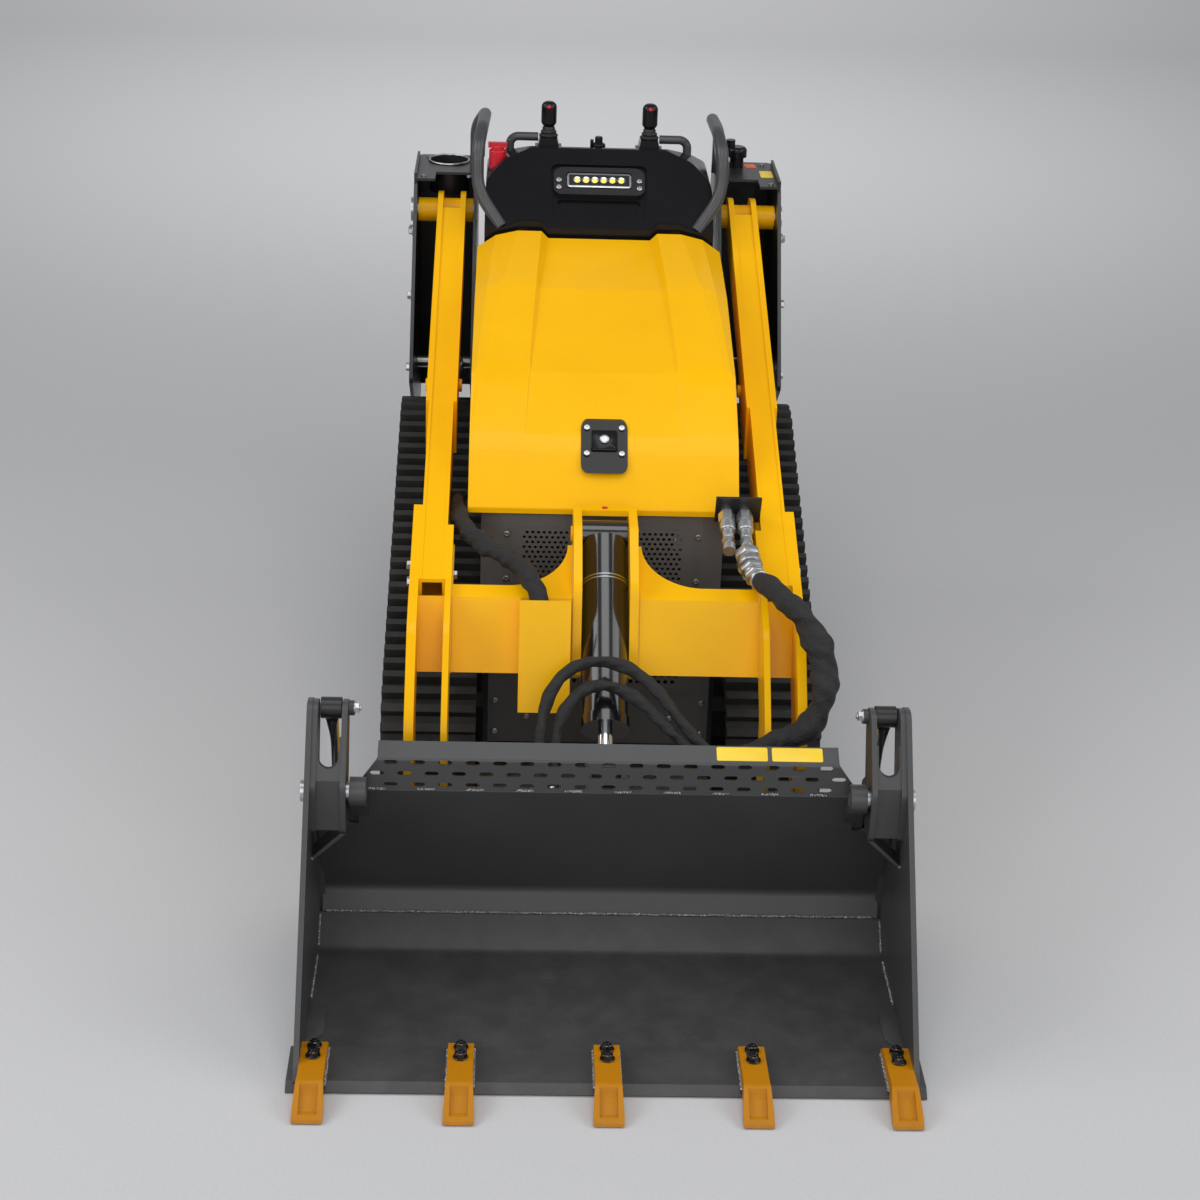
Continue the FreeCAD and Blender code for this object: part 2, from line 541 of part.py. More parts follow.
def build_back():
    half = z.side_outer - z.side_plate - z.bucket_gap
    top, bend = (z.back_top_y, z.back_top_z), (z.back_bend_y, z.back_bend_z)
    sheet_metal = back_sheet(half)
    notch = box(z.notch_half, half + 5, z.back_top_y - 40, z.back_bend_y + 60, z.notch_z, z.back_top_z + 40)
    collar = rod(z.lever_inner - 36, z.clam_pivot_y, z.clam_pivot_z, z.clam_pin_radius + 10, 30, ALONG_X)
    bore = rod(z.lever_inner - 40, z.clam_pivot_y, z.clam_pivot_z, z.clam_pin_radius + z.pin_gap, 40, ALONG_X)
    web = plate([(z.clam_pivot_y, z.clam_pivot_z + 27), (z.back_top_y + 14, z.back_top_z + 6),
                 (z.back_top_y + 40, z.back_top_z - 70), (z.back_top_y + 34, z.back_top_z - 74),
                 (z.clam_pivot_y, z.clam_pivot_z - 27)],
                z.lever_inner - 36, 30)
    ears = []
    for x in (z.clam_x - 28, z.clam_x + 18):
        ears.append(plate([(z.back_bend_y + 1, z.back_bend_z + 14),
                           (z.clam_base_y - 8, z.clam_base_z + 14, 8),
                           (z.clam_base_y + 18, z.clam_base_z + 14, 16),
                           (z.clam_base_y + 16, z.clam_base_z - 20, 18),
                           (z.back_bend_y + 4, z.back_bend_z - 20)], x, 9))
    pin = cross_pin(z.clam_x - 28, z.clam_x + 27, z.clam_base_y, z.clam_base_z, z.lever_pin_radius)
    right = [cut(fuse(collar, web), bore), *ears, pin]
    end = [beside(top, bend, 112, 2), beside(top, bend, 140, z.end_deep),
           (z.back_bend_y + z.end_deep, z.back_bend_z, 30),
           (z.seam_y + 30, z.seam_z + 8, 10), (z.seam_y + z.seam_lip - 2, z.seam_z + 1),
           (z.back_bend_y + 2, z.back_bend_z)]
    right.append(plate(end, half - z.end_plate, z.end_plate))
    back = cut(sheet_metal, notch, mirror_x(notch))
    joined = fuse(back, *right, *[mirror_x(piece) for piece in right])
    bores = [bore, mirror_x(bore)]
    mouldboard = node("mouldboard", cut(joined, *bores))

    face_y = z.back_top_y + 3
    fold = (face_y, z.back_top_z + z.guard_rise)
    lip = (face_y + z.guard_lip_run, z.back_top_z + z.guard_rise + z.guard_lip_rise)
    section = [(face_y, z.back_top_z - 2), (*fold, 8), lip, beside(lip, fold, 0, z.guard_plate),
               (face_y + z.guard_plate, z.back_top_z + z.guard_rise - z.guard_plate * 0.6, 3),
               (face_y + z.guard_plate, z.back_top_z - 2)]
    bent = plate(section, -z.guard_half, z.guard_half * 2)
    trim = plate([(z.guard_half, z.back_top_z), (z.guard_half, z.back_top_z + 200),
                  (z.guard_top_half, z.back_top_z + 200), (z.guard_top_half, z.back_top_z + z.guard_rise)],
                 face_y - 20, 120, "XZ")
    slots = made(guard_slots(face_y))
    node("spill_guard", cut(bent, trim, mirror_x(trim), mouldboard, slots))

    t = z.bucket_plate
    face = [beside(top, bend, along, out) for along, out in
            ((z.hitch_from, t), (z.hitch_to, t), (z.hitch_to, t + z.hitch_plate),
             (z.hitch_from, t + z.hitch_plate))]
    carrier = [plate(face, -z.hitch_half, z.hitch_half * 2)]
    lug = [(z.back_bend_y - 42, z.back_bend_z + 120), (z.tip_pin_y + 30, z.tip_pin_z + 22, 28),
           (z.tip_pin_y + 26, z.tip_pin_z - 32, 28), (z.back_bend_y + 10, z.back_bend_z + 16)]
    knuckle = plate(lug, z.arm_x - 21, 42)
    tip_bore = cross_pin(z.arm_x - 30, z.arm_x + 30, z.tip_pin_y, z.tip_pin_z, z.tip_pin_radius + z.pin_gap)
    for piece in (knuckle, mirror_x(knuckle)):
        carrier.append(piece)
    ear = [(z.back_bend_y - 68, z.back_bend_z + 176), (z.tilt_rod_y + 28, z.tilt_rod_z - 20, 26),
           (z.tilt_rod_y + 22, z.tilt_rod_z + 30, 26), (z.back_bend_y - 102, z.back_bend_z + 246)]
    for start in (28, -28 - z.lug_plate):
        carrier.append(plate(ear, start, z.lug_plate))
        carrier.append(cross_pin(start, start + z.lug_plate, z.tilt_rod_y, z.tilt_rod_z, z.tilt_pin_radius))
    foot = beside(top, bend, z.port_drop, t + z.hitch_plate - 2)
    lean = math.degrees(math.atan2(float(bend[1] - top[1]), float(bend[0] - top[0])))
    for x in (-z.port_x, -z.port_x + z.port_pitch):
        carrier.append(rod(x, *foot, z.port_radius, z.port_length + 2, FreeCAD.Rotation(V(1, 0, 0), lean)))
    node("hitch_plate", cut(fuse(*carrier), tip_bore, mirror_x(tip_bore), sheet_metal))


def guard_slots(face_y):
    """Tools for the guard's staggered rows of slots with round ends."""
    radius, half = z.guard_slot_high.value / 2, z.guard_slot.value / 2
    tools = []
    for row in range(int(z.guard_rows.value)):
        height = z.back_top_z.value + z.guard_first.value + z.guard_row.value * row
        reach = z.guard_half.value - (row + 1) * 8 - z.guard_slot.value
        shift = z.guard_pitch.value / 2 * (row % 2)
        count = int((reach - shift) / z.guard_pitch.value)
        places = [shift + z.guard_pitch.value * i for i in range(-count, count + 1)]
        for x in places + ([-shift - z.guard_pitch.value * count] if shift else []):
            outline = []
            for centre, first in ((x + half - radius, -90), (x - half + radius, 90)):
                for step in range(4):
                    angle = math.radians(first + step * 60)
                    outline.append(V(centre + radius * math.cos(angle), float(face_y) - 5,
                                     height + radius * math.sin(angle)))
            tools.append(Part.Face(Part.makePolygon(outline + outline[:1])).extrude(V(0, 30, 0)))
    return Part.makeCompound(tools)


# ------------------------------------------------------------------ boom

def arm_top(y):
    """Height of the arm's straight top line at a station."""
    return z.arm_pivot_z + z.arm_rise + 3 + (y - z.arm_pivot_y) * z.arm_fall


def arm():
    """One arm: a box section, flanked at the rear by flanges and at the front by thick leg plates."""
    depth, front_depth = z.arm_depth, z.front_depth
    rear = [(z.flange_front_y, arm_top(z.flange_front_y)),
            (z.arm_pivot_y - 16, arm_top(z.arm_pivot_y - 16), 60),
            (z.arm_pivot_y + 50, z.arm_pivot_z + 34, 32), (z.arm_pivot_y + 48, z.arm_pivot_z - 46, 32),
            (z.arm_pivot_y - 40, arm_top(z.arm_pivot_y - 40) - depth, 40),
            (z.lift_pin_y + 62, arm_top(z.lift_pin_y + 62) - depth, 30),
            (z.lift_pin_y + 4, z.lift_pin_z - 38, 36),
            (z.flange_front_y, arm_top(z.flange_front_y) - front_depth)]
    channel = [(z.channel_front_y, arm_top(z.channel_front_y)), *rear[1:7],
               (z.flange_front_y, arm_top(z.flange_front_y) - front_depth),
               (z.channel_front_y, arm_top(z.channel_front_y) - front_depth)]
    leg = [(z.leg_top_y, arm_top(z.leg_top_y)), (z.knee_y, arm_top(z.knee_y), 60), (z.knee_y - 72, 570, 60),
           (z.shin_y, z.shin_z, 80), (z.tip_pin_y - 47, z.tip_pin_z - 10, 46),
           (z.tip_pin_y - 20, z.tip_pin_z - 46, 30), (z.tip_pin_y + 34, z.tip_pin_z - 34, 40),
           (z.tip_pin_y + 48, z.tip_pin_z + 30, 60), (z.shin_y + 122, z.shin_z - 12, 90),
           (z.knee_y + 20, 490, 80), (z.leg_top_y, arm_top(z.leg_top_y) - front_depth)]
    half = z.arm_width / 2
    inner, outer = z.arm_x - half, z.arm_x + half
    solids = [plate(rear, inner - z.flange_plate, z.flange_plate), plate(rear, outer, z.flange_plate),
              plate(channel, inner, z.arm_wall), plate(channel, outer - z.arm_wall, z.arm_wall),
              plate([(z.leg_inner_top_y, arm_top(z.leg_inner_top_y)), *leg[1:-1],
                     (z.leg_inner_top_y, arm_top(z.leg_inner_top_y) - front_depth)],
                    z.leg_inner, z.leg_inner_plate),
              plate(leg, z.leg_outer - z.leg_outer_plate, z.leg_outer_plate)]
    roof_rear = z.arm_pivot_y - 70
    roof = [(z.channel_front_y, arm_top(z.channel_front_y) - 1), (roof_rear, arm_top(roof_rear) - 4),
            (roof_rear, arm_top(roof_rear) - 12), (z.channel_front_y, arm_top(z.channel_front_y) - 8)]
    solids.append(plate(roof, inner + z.arm_wall, z.arm_width - z.arm_wall * 2))
    solids.append(plate([(z.channel_front_y, arm_top(z.channel_front_y) - front_depth),
                         (z.flange_front_y, arm_top(z.flange_front_y) - front_depth),
                         (z.flange_front_y, arm_top(z.flange_front_y) - front_depth + 8),
                         (z.channel_front_y, arm_top(z.channel_front_y) - front_depth + 8)],
                        inner + z.arm_wall, z.arm_width - z.arm_wall * 2))
    between = [(z.cross_top_y, z.cross_top_z), (z.cross_foot_y, z.cross_foot_z),
               (z.cross_foot_y + z.cross_plate, z.cross_foot_z - 3),
               (z.cross_top_y + z.cross_plate, z.cross_top_z - 3)]
    solids.append(plate(between, z.leg_inner + z.leg_inner_plate,
                        z.leg_outer - z.leg_outer_plate - z.leg_inner - z.leg_inner_plate))
    boss_end = z.tower_outer - z.tower_plate - 2
    solids.append(cross_pin(z.tower_inner + z.tower_plate + 2, boss_end, z.arm_pivot_y, z.arm_pivot_z,
                            z.arm_boss_radius))
    for start in (inner - z.flange_plate - 7, inner, outer - z.arm_wall, outer + z.flange_plate):
        width = 7 if start.value < inner.value or start.value > outer.value - 1 else z.arm_wall
        solids.append(cross_pin(start, start + width, z.lift_pin_y, z.lift_pin_z, z.lift_pin_radius))
    bore = cross_pin(z.tower_inner - 5, z.tower_outer + 5, z.arm_pivot_y, z.arm_pivot_z,
                     z.arm_pin_radius + z.pin_gap)
    return cut(fuse(*solids), bore, tip_bore())


def tip_bore():
    return cross_pin(z.leg_inner - 5, z.leg_outer + 5, z.tip_pin_y, z.tip_pin_z, z.tip_pin_radius + z.pin_gap)


def tip_pin():
    """Pin that joins the arm's leg plates to the hitch, with a head outside."""
    body = cross_pin(z.leg_inner, z.leg_outer, z.tip_pin_y, z.tip_pin_z, z.tip_pin_radius)
    head = cross_pin(z.leg_outer, z.leg_outer + 8, z.tip_pin_y, z.tip_pin_z, z.tip_pin_radius + 6)
    return fuse(body, head)


def cross_half():
    """Half of the cross member: a folded face, and a top flange that sweeps up to the bracket."""
    start = z.bracket_inner + z.bracket_plate
    length = z.leg_inner - start
    top_y, top_z, foot_y, foot_z = z.cross_top_y, z.cross_top_z, z.cross_foot_y, z.cross_foot_z
    face = [(top_y, top_z), (foot_y, foot_z), (foot_y + 34, foot_z - 14), (top_y + 48, top_z - 22),
            (top_y + z.cross_flange, top_z + z.cross_flange * 0.3)]
    beam = plate(face, start, length)
    rise = 0.3
    deep = z.cross_flange + z.cross_arc
    flange = plate([(top_y, top_z), (top_y + deep, top_z + deep * rise),
                    (top_y + deep, top_z + deep * rise - z.cross_plate), (top_y + 8, top_z - z.cross_plate)],
                   start, z.cross_arc + 10)
    scoop = rod(start + z.cross_arc + 10, top_y + z.cross_flange + z.cross_arc, top_z - 60, z.cross_arc, 300,
                ALONG_Z)
    return fuse(beam, cut(flange, scoop))


def build_boom():
    pair("boom_arm", arm)
    node("bucket_pins", both_sides(tip_pin))
    node("cross_member", both_sides(cross_half))
    side = [(z.cross_foot_y - 5, z.cross_foot_z - 8, 10), (z.cross_top_y, z.cross_top_z + 30, 60),
            (z.tilt_pin_y - 60, z.tilt_pin_z + 44, 30), (z.tilt_pin_y + 46, z.tilt_pin_z + 46, 16),
            (z.tilt_pin_y + 46, z.tilt_pin_z - 60, 20), (z.cross_top_y + 60, z.cross_top_z - 60, 40),
            (z.cross_foot_y + 50, z.cross_foot_z - 20, 14)]
    cheek = plate(side, z.bracket_inner, z.bracket_plate)
    cap = box(-z.bracket_inner, z.bracket_inner, z.tilt_pin_y + 14, z.tilt_pin_y + 42,
              z.tilt_pin_z + 34, z.tilt_pin_z + 46)
    stem = cross_pin(-z.bracket_inner - z.bracket_plate - 4, z.bracket_inner + z.bracket_plate + 4,
                     z.tilt_pin_y, z.tilt_pin_z, z.tilt_pin_radius)
    node("tilt_bracket", fuse(cheek, mirror_x(cheek), cap, stem))
    build_hose_guard()
    build_couplers()
    build_hoses()


def build_hose_guard():
    """Bent cover beside the tilt cylinder, where the left hoses go down."""
    outer, inner, t = z.guard_box_outer, z.guard_box_inner, z.guard_sheet
    top_y, top_z, foot_y, foot_z = z.cross_top_y, z.cross_top_z, z.cross_foot_y, z.cross_foot_z
    stand = z.guard_stand
    front = [(top_y - stand, top_z + 18), (foot_y - stand - 20, foot_z - 50),
             (foot_y - stand - 20 + t, foot_z - 52), (top_y - stand + t, top_z + 16)]
    side = [(top_y - stand, top_z + 18), (foot_y - stand - 20, foot_z - 50), (foot_y, foot_z), (top_y, top_z)]
    node("hose_guard", fuse(plate(front, -outer, outer - inner), plate(side, -outer - t, t)))


def build_couplers():
    """Auxiliary quick couplers beside the right arm, and the bracket that holds them."""
    x = z.leg_inner - z.coupler_radius - 6
    axis = math.radians(90 + z.coupler_lean.value)
    lean = FreeCAD.Rotation(V(1, 0, 0), math.degrees(axis))
    ahead = (-math.sin(axis), math.cos(axis))
    big, end = z.coupler_radius, z.coupler_length
    bodies = []
    for shift in (0, z.coupler_radius * 2 + 4):
        body = turned([(0, 0), (big - 5, 0), (big - 5, 10), (big - 2, 12), (big - 2, 42, 2), (big, 44),
                       (big, 62, 3),
                       (big - 4, 64), (big - 4, 84), (big - 6, 86), (big - 6, end - 18), (big - 3, end - 16),
                       (big - 3, end), (0, end)], x - shift, z.coupler_y, z.coupler_z, lean)
        for start, length in ((12, 24), (end - 34, 12)):
            nut = doc.addObject("Part::Prism", "Nut")
            nut.Polygon = 6
            bind(nut, Circumradius=big + (1 if start == 12 else -3), Height=length)
            put(nut, x - shift, z.coupler_y + start * ahead[0], z.coupler_z + start * ahead[1], lean)
            body = fuse(body, nut)
        bodies.append(body)
    node("couplers", group(*bodies))
    t = z.coupler_plate
    corners = []
    for side, back in ((-1, 0), (1, 0), (1, 1), (-1, 1)):
        corners.append((z.coupler_y - ahead[0] * back * t + ahead[1] * side * z.coupler_bracket_half,
                        z.coupler_z - ahead[1] * back * t - ahead[0] * side * z.coupler_bracket_half))
    inner = x - z.coupler_radius * 3 - 10
    wall = z.arm_x - z.arm_width / 2
    clamp = box(-wall, -z.hood_half - 6, -72, -64, 648, 682)
    node("hose_brackets", group(plate(corners, inner, wall - inner), clamp))


def build_hoses():
    """Hoses at their real length; each point is a place that the hose passes."""
    node("hose_bundle_left", tube("hose_bundle_left", LEFT_BUNDLE, z.bundle_radius))
    node("hose_bundle_right", tube("hose_bundle_right", RIGHT_BUNDLE, z.sleeve_radius))
    node("hose_loop_upper", tube("hose_loop_upper", LOOP_UPPER, z.hose_radius))
    node("hose_loop_lower", tube("hose_loop_lower", LOOP_LOWER, z.hose_radius))


LEFT_BUNDLE = [(-299, -72, 664), (-299, -140, 664), (-280, -225, 659), (-235, -290, 652), (-175, -352, 646),
               (-128, -428, 620), (-118, -464, 532)]
RIGHT_BUNDLE = [(281, -314.76, 662.96), (281, -375, 641.04), (318, -462, 652), (384, -545, 618),
                (420, -605, 536),
                (398, -650, 455), (324, -668, 420), (250, -688, 404)]
LOOP_UPPER = [(247.8, -688.6, 411.7), (205, -700, 402.4), (150, -650, 440), (90, -585, 500), (20, -548, 532),
              (-60, -552, 528), (-112, -596, 490), (-128, -660, 420), (-128, -708.07, 362.45),
              (-128, -743.9, 346.52)]
LOOP_LOWER = [(252.2, -687.4, 396.3), (205, -700, 386), (140, -668, 420), (70, -606, 474), (0, -578, 500),
              (-56, -592, 488), (-94, -636, 440), (-100, -690, 370.49), (-100, -743.9, 346.52)]


# ------------------------------------------------------------------ cylinders

def place_cylinder(solid, x, y0, z0, y1, z1):
    """Lays a cylinder, built upright at the origin, from its base pin towards its rod pin."""
    lean = math.degrees(math.atan2(float(y1) - float(y0), float(z1) - float(z0)))
    turn = FreeCAD.Rotation(V(1, 0, 0), -lean)
    return put(solid, x, y0, z0, turn)


def barrel(radius, length, stem, eye, eye_width, pin):
    """Barrel: base eye at the origin, a bored tube, a head ring and the gland that the rod runs in."""
    tube = put(bind(rod(0, 0, 0, radius, length, ALONG_Z), Height=length - eye * 0.8), 0, 0, eye * 0.8)
    ring = put(rod(0, 0, 0, radius + 3, 22, ALONG_Z), 0, 0, length - 22)
    lug = cross_pin(-eye_width / 2, eye_width / 2, 0, 0, eye)
    bore = cross_pin(-eye_width, eye_width, 0, 0, pin + z.pin_gap)
    inside = put(rod(0, 0, 0, radius * z.bore_share, length - eye * 1.6 - z.gland, ALONG_Z), 0, 0, eye * 1.6)
    throat = put(rod(0, 0, 0, stem + z.pin_gap, z.gland + 4, ALONG_Z), 0, 0, length - z.gland - 2)
    return cut(fuse(tube, ring, lug), bore, inside, throat)


def piston_rod(radius, full, seat, eye, eye_width, bore_radius):
    """Rod: a piston at its seat in the barrel, a chromed stem, and an eye that holds its part of the pin."""
    stem = put(rod(0, 0, 0, radius, full - seat - eye * 0.8, ALONG_Z), 0, 0, seat)
    piston = put(rod(0, 0, 0, bore_radius - z.pin_gap, z.gland, ALONG_Z), 0, 0, seat)
    knob = put(cross_pin(-eye_width / 2, eye_width / 2, 0, 0, eye), -eye_width / 2, 0, full, ALONG_X)
    return fuse(stem, piston, knob)


def build_cylinders():
    """The tilt cylinder, and the pairs that lift the boom and open the clam."""
    kinds = {
        "tilt": (("",), z.tilt_pin_y, z.tilt_pin_z, z.tilt_rod_y, z.tilt_rod_z, Size.of(0),
                 z.tilt_barrel_radius, z.tilt_rod_radius, z.tilt_barrel_length, z.tilt_pin_radius,
                 z.bracket_inner - z.eye_side_gap, z.tilt_eye_half, z.tilt_eye, z.tilt_seat),
        "lift": (("_right", "_left"), z.lift_base_y, z.lift_base_z, z.lift_pin_y, z.lift_pin_z, z.arm_x,
                 z.lift_barrel_radius, z.lift_rod_radius, z.lift_barrel_length, z.lift_pin_radius,
                 z.lift_eye_half, z.arm_width / 2 - z.arm_wall - z.eye_side_gap, z.lift_eye, z.lift_seat),
        "clam": (("_right", "_left"), z.clam_base_y, z.clam_base_z, z.lever_pin_y, z.lever_pin_z, z.clam_x,
                 z.clam_barrel_radius, z.clam_rod_radius, z.clam_barrel_length, z.lever_pin_radius,
                 z.clam_eye_half - z.eye_side_gap, z.clam_eye_half, z.clam_eye, z.clam_seat),
    }
    for name, kind in kinds.items():
        sides, y0, z0, y1, z1, x, radius, stem, length, pin, base_half, rod_half, eye, seat = kind
        full = math.hypot(float(y1) - float(y0), float(z1) - float(z0))
        for side in sides:
            across = -x if side == "_left" else x
            tube = barrel(radius, length, stem, pin + z.eye_wall, base_half * 2, pin)
            node(name + "_barrel" + side, place_cylinder(tube, across, y0, z0, y1, z1))
            shaft = piston_rod(stem, Size.of(full), seat, eye, rod_half * 2, radius * z.bore_share)
            node(name + "_rod" + side, place_cylinder(shaft, across, y0, z0, y1, z1))


# ------------------------------------------------------------------ chassis and towers

def perforated(half, low, high, y, thick, from_x, to_x, pitch, hole):
    """A sheet across the front with two fields of holes in a staggered pattern, left and right of the middle."""
    outline = [V(-half, y, low), V(half, y, low), V(half, y, high), V(-half, y, high)]
    holes = []
    rows, columns = int((high - low - pitch) / (pitch * 0.95)), int((to_x - from_x) / pitch)
    for row in range(rows):
        for column in range(columns):
            x = from_x + pitch * (column + 0.5 * (row % 2) + 0.5)
            height = high - pitch * 0.95 * (row + 0.9)
            for side in (1, -1):
                ring = [V(side * x + hole / 2 * math.cos(math.radians(60 * i)), y,
                          height + hole / 2 * math.sin(math.radians(60 * i))) for i in range(6)]
                holes.append(Part.makePolygon(ring + ring[:1]))
    face = Part.makeFace([Part.makePolygon(outline + outline[:1])] + holes, "Part::FaceMakerBullseye")
    return made(face.extrude(V(0, thick, 0)), "Perforated")


def build_chassis():
    t = z.tub_plate
    side = [(z.tub_front_y, z.tub_floor_z, 30), (z.tub_rear_y, z.tub_floor_z, 40),
            (z.tub_rear_y, z.tub_rear_z, 30),
            (z.hood_rear_y, z.tub_rear_z - 30, 20), (z.panel_y + 10, z.tub_top_z - 16, 10),
            (z.panel_y + 10, z.panel_z, 10), (z.tub_front_y, z.panel_z - 90, 20)]
    walls = [plate(side, z.tub_half - t, t), plate(side, -z.tub_half, t)]
    floor = box(-z.tub_half + t, z.tub_half - t, z.tub_front_y + 30, z.tub_rear_y - 40, z.tub_floor_z,
                z.tub_floor_z + t)
    back = box(-z.tub_half + t, z.tub_half - t, z.tub_rear_y - t, z.tub_rear_y, z.tub_floor_z + 40,
               z.tub_rear_z - 30)
    shelf = plate([(z.tub_front_y + 12, z.panel_z - 90), (z.panel_y + 10, z.panel_z - 4),
                   (z.panel_y + 22, z.panel_z - 10), (z.tub_front_y + 12, z.panel_z - 102)],
                  -z.tub_half + t, (z.tub_half - t) * 2)
    chassis = node("chassis_frame", fuse(*walls, floor, back, shelf))
    node("engine_block", box(-z.engine_half, z.engine_half, z.engine_y, z.engine_y + z.engine_long,
                             z.tub_floor_z + t, z.tub_floor_z + t + z.engine_high))
    skin, face_y = z.panel_plate, z.panel_y - 10
    panel = plate(mirrored([(z.panel_wing, face_y + z.panel_fold + skin),
                            (z.panel_wing, face_y + z.panel_fold),
                            (z.panel_half, face_y, 6)])[::-1]
                  + [(z.panel_half, face_y + skin, 3), (-z.panel_half, face_y + skin, 3)],
                  z.panel_z - 28, z.tub_top_z - 18 - z.panel_z + 28, "XY")
    low, high = z.panel_z + 6, z.panel_z + z.mesh_high
    window = box(-z.mesh_half + 12, z.mesh_half - 12, face_y - 1, face_y + skin + 1, low + 6, high - 6)
    mesh = perforated(z.mesh_half.value, low.value, high.value, face_y.value - z.mesh_plate.value,
                      z.mesh_plate.value, z.mesh_from.value, z.mesh_to.value, z.mesh_pitch.value,
                      z.mesh_hole.value)
    node("front_grille", fuse(cut(panel, window, chassis), mesh))
    low, high, y = z.tub_floor_z + 40, z.panel_z - 110, z.tub_front_y
    window = box(-z.mesh_to - 4, z.mesh_to + 4, y - 1, y + skin + 1, high - 92, high - 8)
    sheet_metal = box(-z.tub_half + t, z.tub_half - t, y, y + skin, low, high)
    mesh = perforated(z.mesh_half.value, high.value - 96, high.value - 4, y.value - z.mesh_plate.value,
                      z.mesh_plate.value, z.lower_mesh_from.value, z.mesh_to.value, z.mesh_pitch.value * 1.25,
                      z.mesh_hole.value * 1.25)
    node("lower_grille", fuse(cut(sheet_metal, window), mesh))


def tower():
    """Tower: outer and inner panels joined by a back wall and a foot."""
    t = z.tower_plate
    outline = [(z.tower_foot_y, z.tower_foot_z, 16), (z.tower_head_y, z.tower_head_z, 20),
               (z.tower_rear_y, z.tower_head_z, 20), (z.tower_rear_y, z.tower_base_z, 30),
               (z.tower_foot_y + 150, z.tower_base_z + 90, 40)]
    outer = plate(outline, z.tower_outer - t, t)
    inner = plate(outline, z.tower_inner, t)
    back = box(z.tower_inner + t, z.tower_outer - t, z.tower_rear_y - t, z.tower_rear_y,
               z.tower_base_z + 30, z.tower_head_z - 20)
    tie = box(z.tub_half, z.tower_inner, z.tower_rear_y - 190, z.tower_rear_y - 150, z.tower_base_z + 40,
              z.tub_rear_z - 40)
    bores = [cross_pin(z.tower_inner - 2, z.tower_outer + 2, z.arm_pivot_y, z.arm_pivot_z,
                       z.arm_pin_radius + z.pin_gap),
             cross_pin(z.tower_inner - 2, z.tower_outer + 2, z.lift_base_y, z.lift_base_z,
                       z.lift_pin_radius + z.pin_gap)]
    return cut(fuse(outer, inner, back, tie), *bores)


def tower_pins():
    """Arm pivot pin and lift cylinder base pin, each through both panels."""
    pivot = cross_pin(z.tower_inner, z.tower_outer, z.arm_pivot_y, z.arm_pivot_z, z.arm_pin_radius)
    head = cross_pin(z.tower_outer, z.tower_outer + 8, z.arm_pivot_y, z.arm_pivot_z, z.arm_pin_radius + 8)
    base = cross_pin(z.tower_inner, z.tower_outer, z.lift_base_y, z.lift_base_z, z.lift_pin_radius)
    cap = cross_pin(z.tower_outer, z.tower_outer + 6, z.lift_base_y, z.lift_base_z, z.lift_pin_radius + 6)
    return group(fuse(pivot, head), fuse(base, cap))


def deck():
    """Deck over a tower, notched at its front where the arm's end comes up."""
    top = plate([(z.tower_inner, z.deck_slot_y), (z.arm_x - 40, z.deck_slot_y), (z.arm_x + 40, z.deck_slot_y),
                 (z.arm_x + 40, z.tower_head_y + 6), (z.tower_outer, z.tower_head_y + 6),
                 (z.tower_outer, z.tower_rear_y, 20), (z.tower_inner, z.tower_rear_y, 20)],
                z.tower_head_z, z.deck_plate, "XY")
    lip = box(z.tower_outer - z.deck_plate, z.tower_outer, z.tower_head_y + 6, z.tower_rear_y - 20,
              z.tower_head_z + z.deck_plate, z.tower_head_z + z.deck_plate + 12)
    return fuse(top, lip)


def build_towers():
    pair("tower", tower)
    node("tower_pins", both_sides(tower_pins))
    node("deck_right", deck())
    floor = z.tower_head_z + z.deck_plate - z.cup_deep
    place = (-z.cup_x, z.cup_y)
    wall = rod(*place, floor, z.cup_radius + z.cup_wall, z.cup_deep, ALONG_Z)
    rim = rod(*place, z.tower_head_z + z.deck_plate, z.cup_radius + z.cup_rim, 2, ALONG_Z)
    node("deck_left", cut(fuse(mirror_x(deck()), wall, rim),
                          rod(*place, floor - 1, z.cup_radius, z.cup_deep + 5, ALONG_Z)))


# ------------------------------------------------------------------ engine cover and operator's console

def hood_outline(drop):
    """Side view of the cover, moved in from its skin by drop."""
    return [(z.hood_front_y + drop, z.hood_front_z - z.hood_lip),
            (z.hood_front_y + drop, z.hood_front_z - drop, 6),
            (z.hood_nose_y + drop, z.hood_nose_z - drop, 160),
            (z.hood_brow_y + drop * 0.5, z.hood_brow_z - drop, 300),
            (z.hood_mid_y, z.hood_mid_z - drop, 500), (z.hood_rear_y, z.hood_rear_z - drop),
            (z.hood_rear_y, z.hood_rear_z - z.hood_skirt), (z.hood_mid_y, z.hood_mid_z - z.hood_skirt),
            (z.hood_brow_y + 40, z.hood_brow_z - z.hood_skirt - 40)]


def hood_stations():
    """Stations along the cover's top: place, height, and share of the way from its nose to its rear."""
    for y, top in ((z.hood_nose_y, z.hood_nose_z), (z.hood_brow_y, z.hood_brow_z),
                   (z.hood_mid_y, z.hood_mid_z),
                   (z.hood_rear_y, z.hood_rear_z)):
        yield y, top, (y - z.hood_nose_y) / (z.hood_rear_y - z.hood_nose_y)


def hood_trough(drop):
    """Tool for the trough that deepens and narrows towards the cover's rear."""
    clear = z.hood_clear
    sections = []
    for y, top, share in hood_stations():
        deep = z.trough_deep * share
        half = z.trough_front_half + (z.trough_rear_half - z.trough_front_half) * share + drop * 0.4
        sections.append((y, mirrored([(half, top - deep - drop), (half + deep + drop + clear, top + clear)])))
    return lofted(sections)


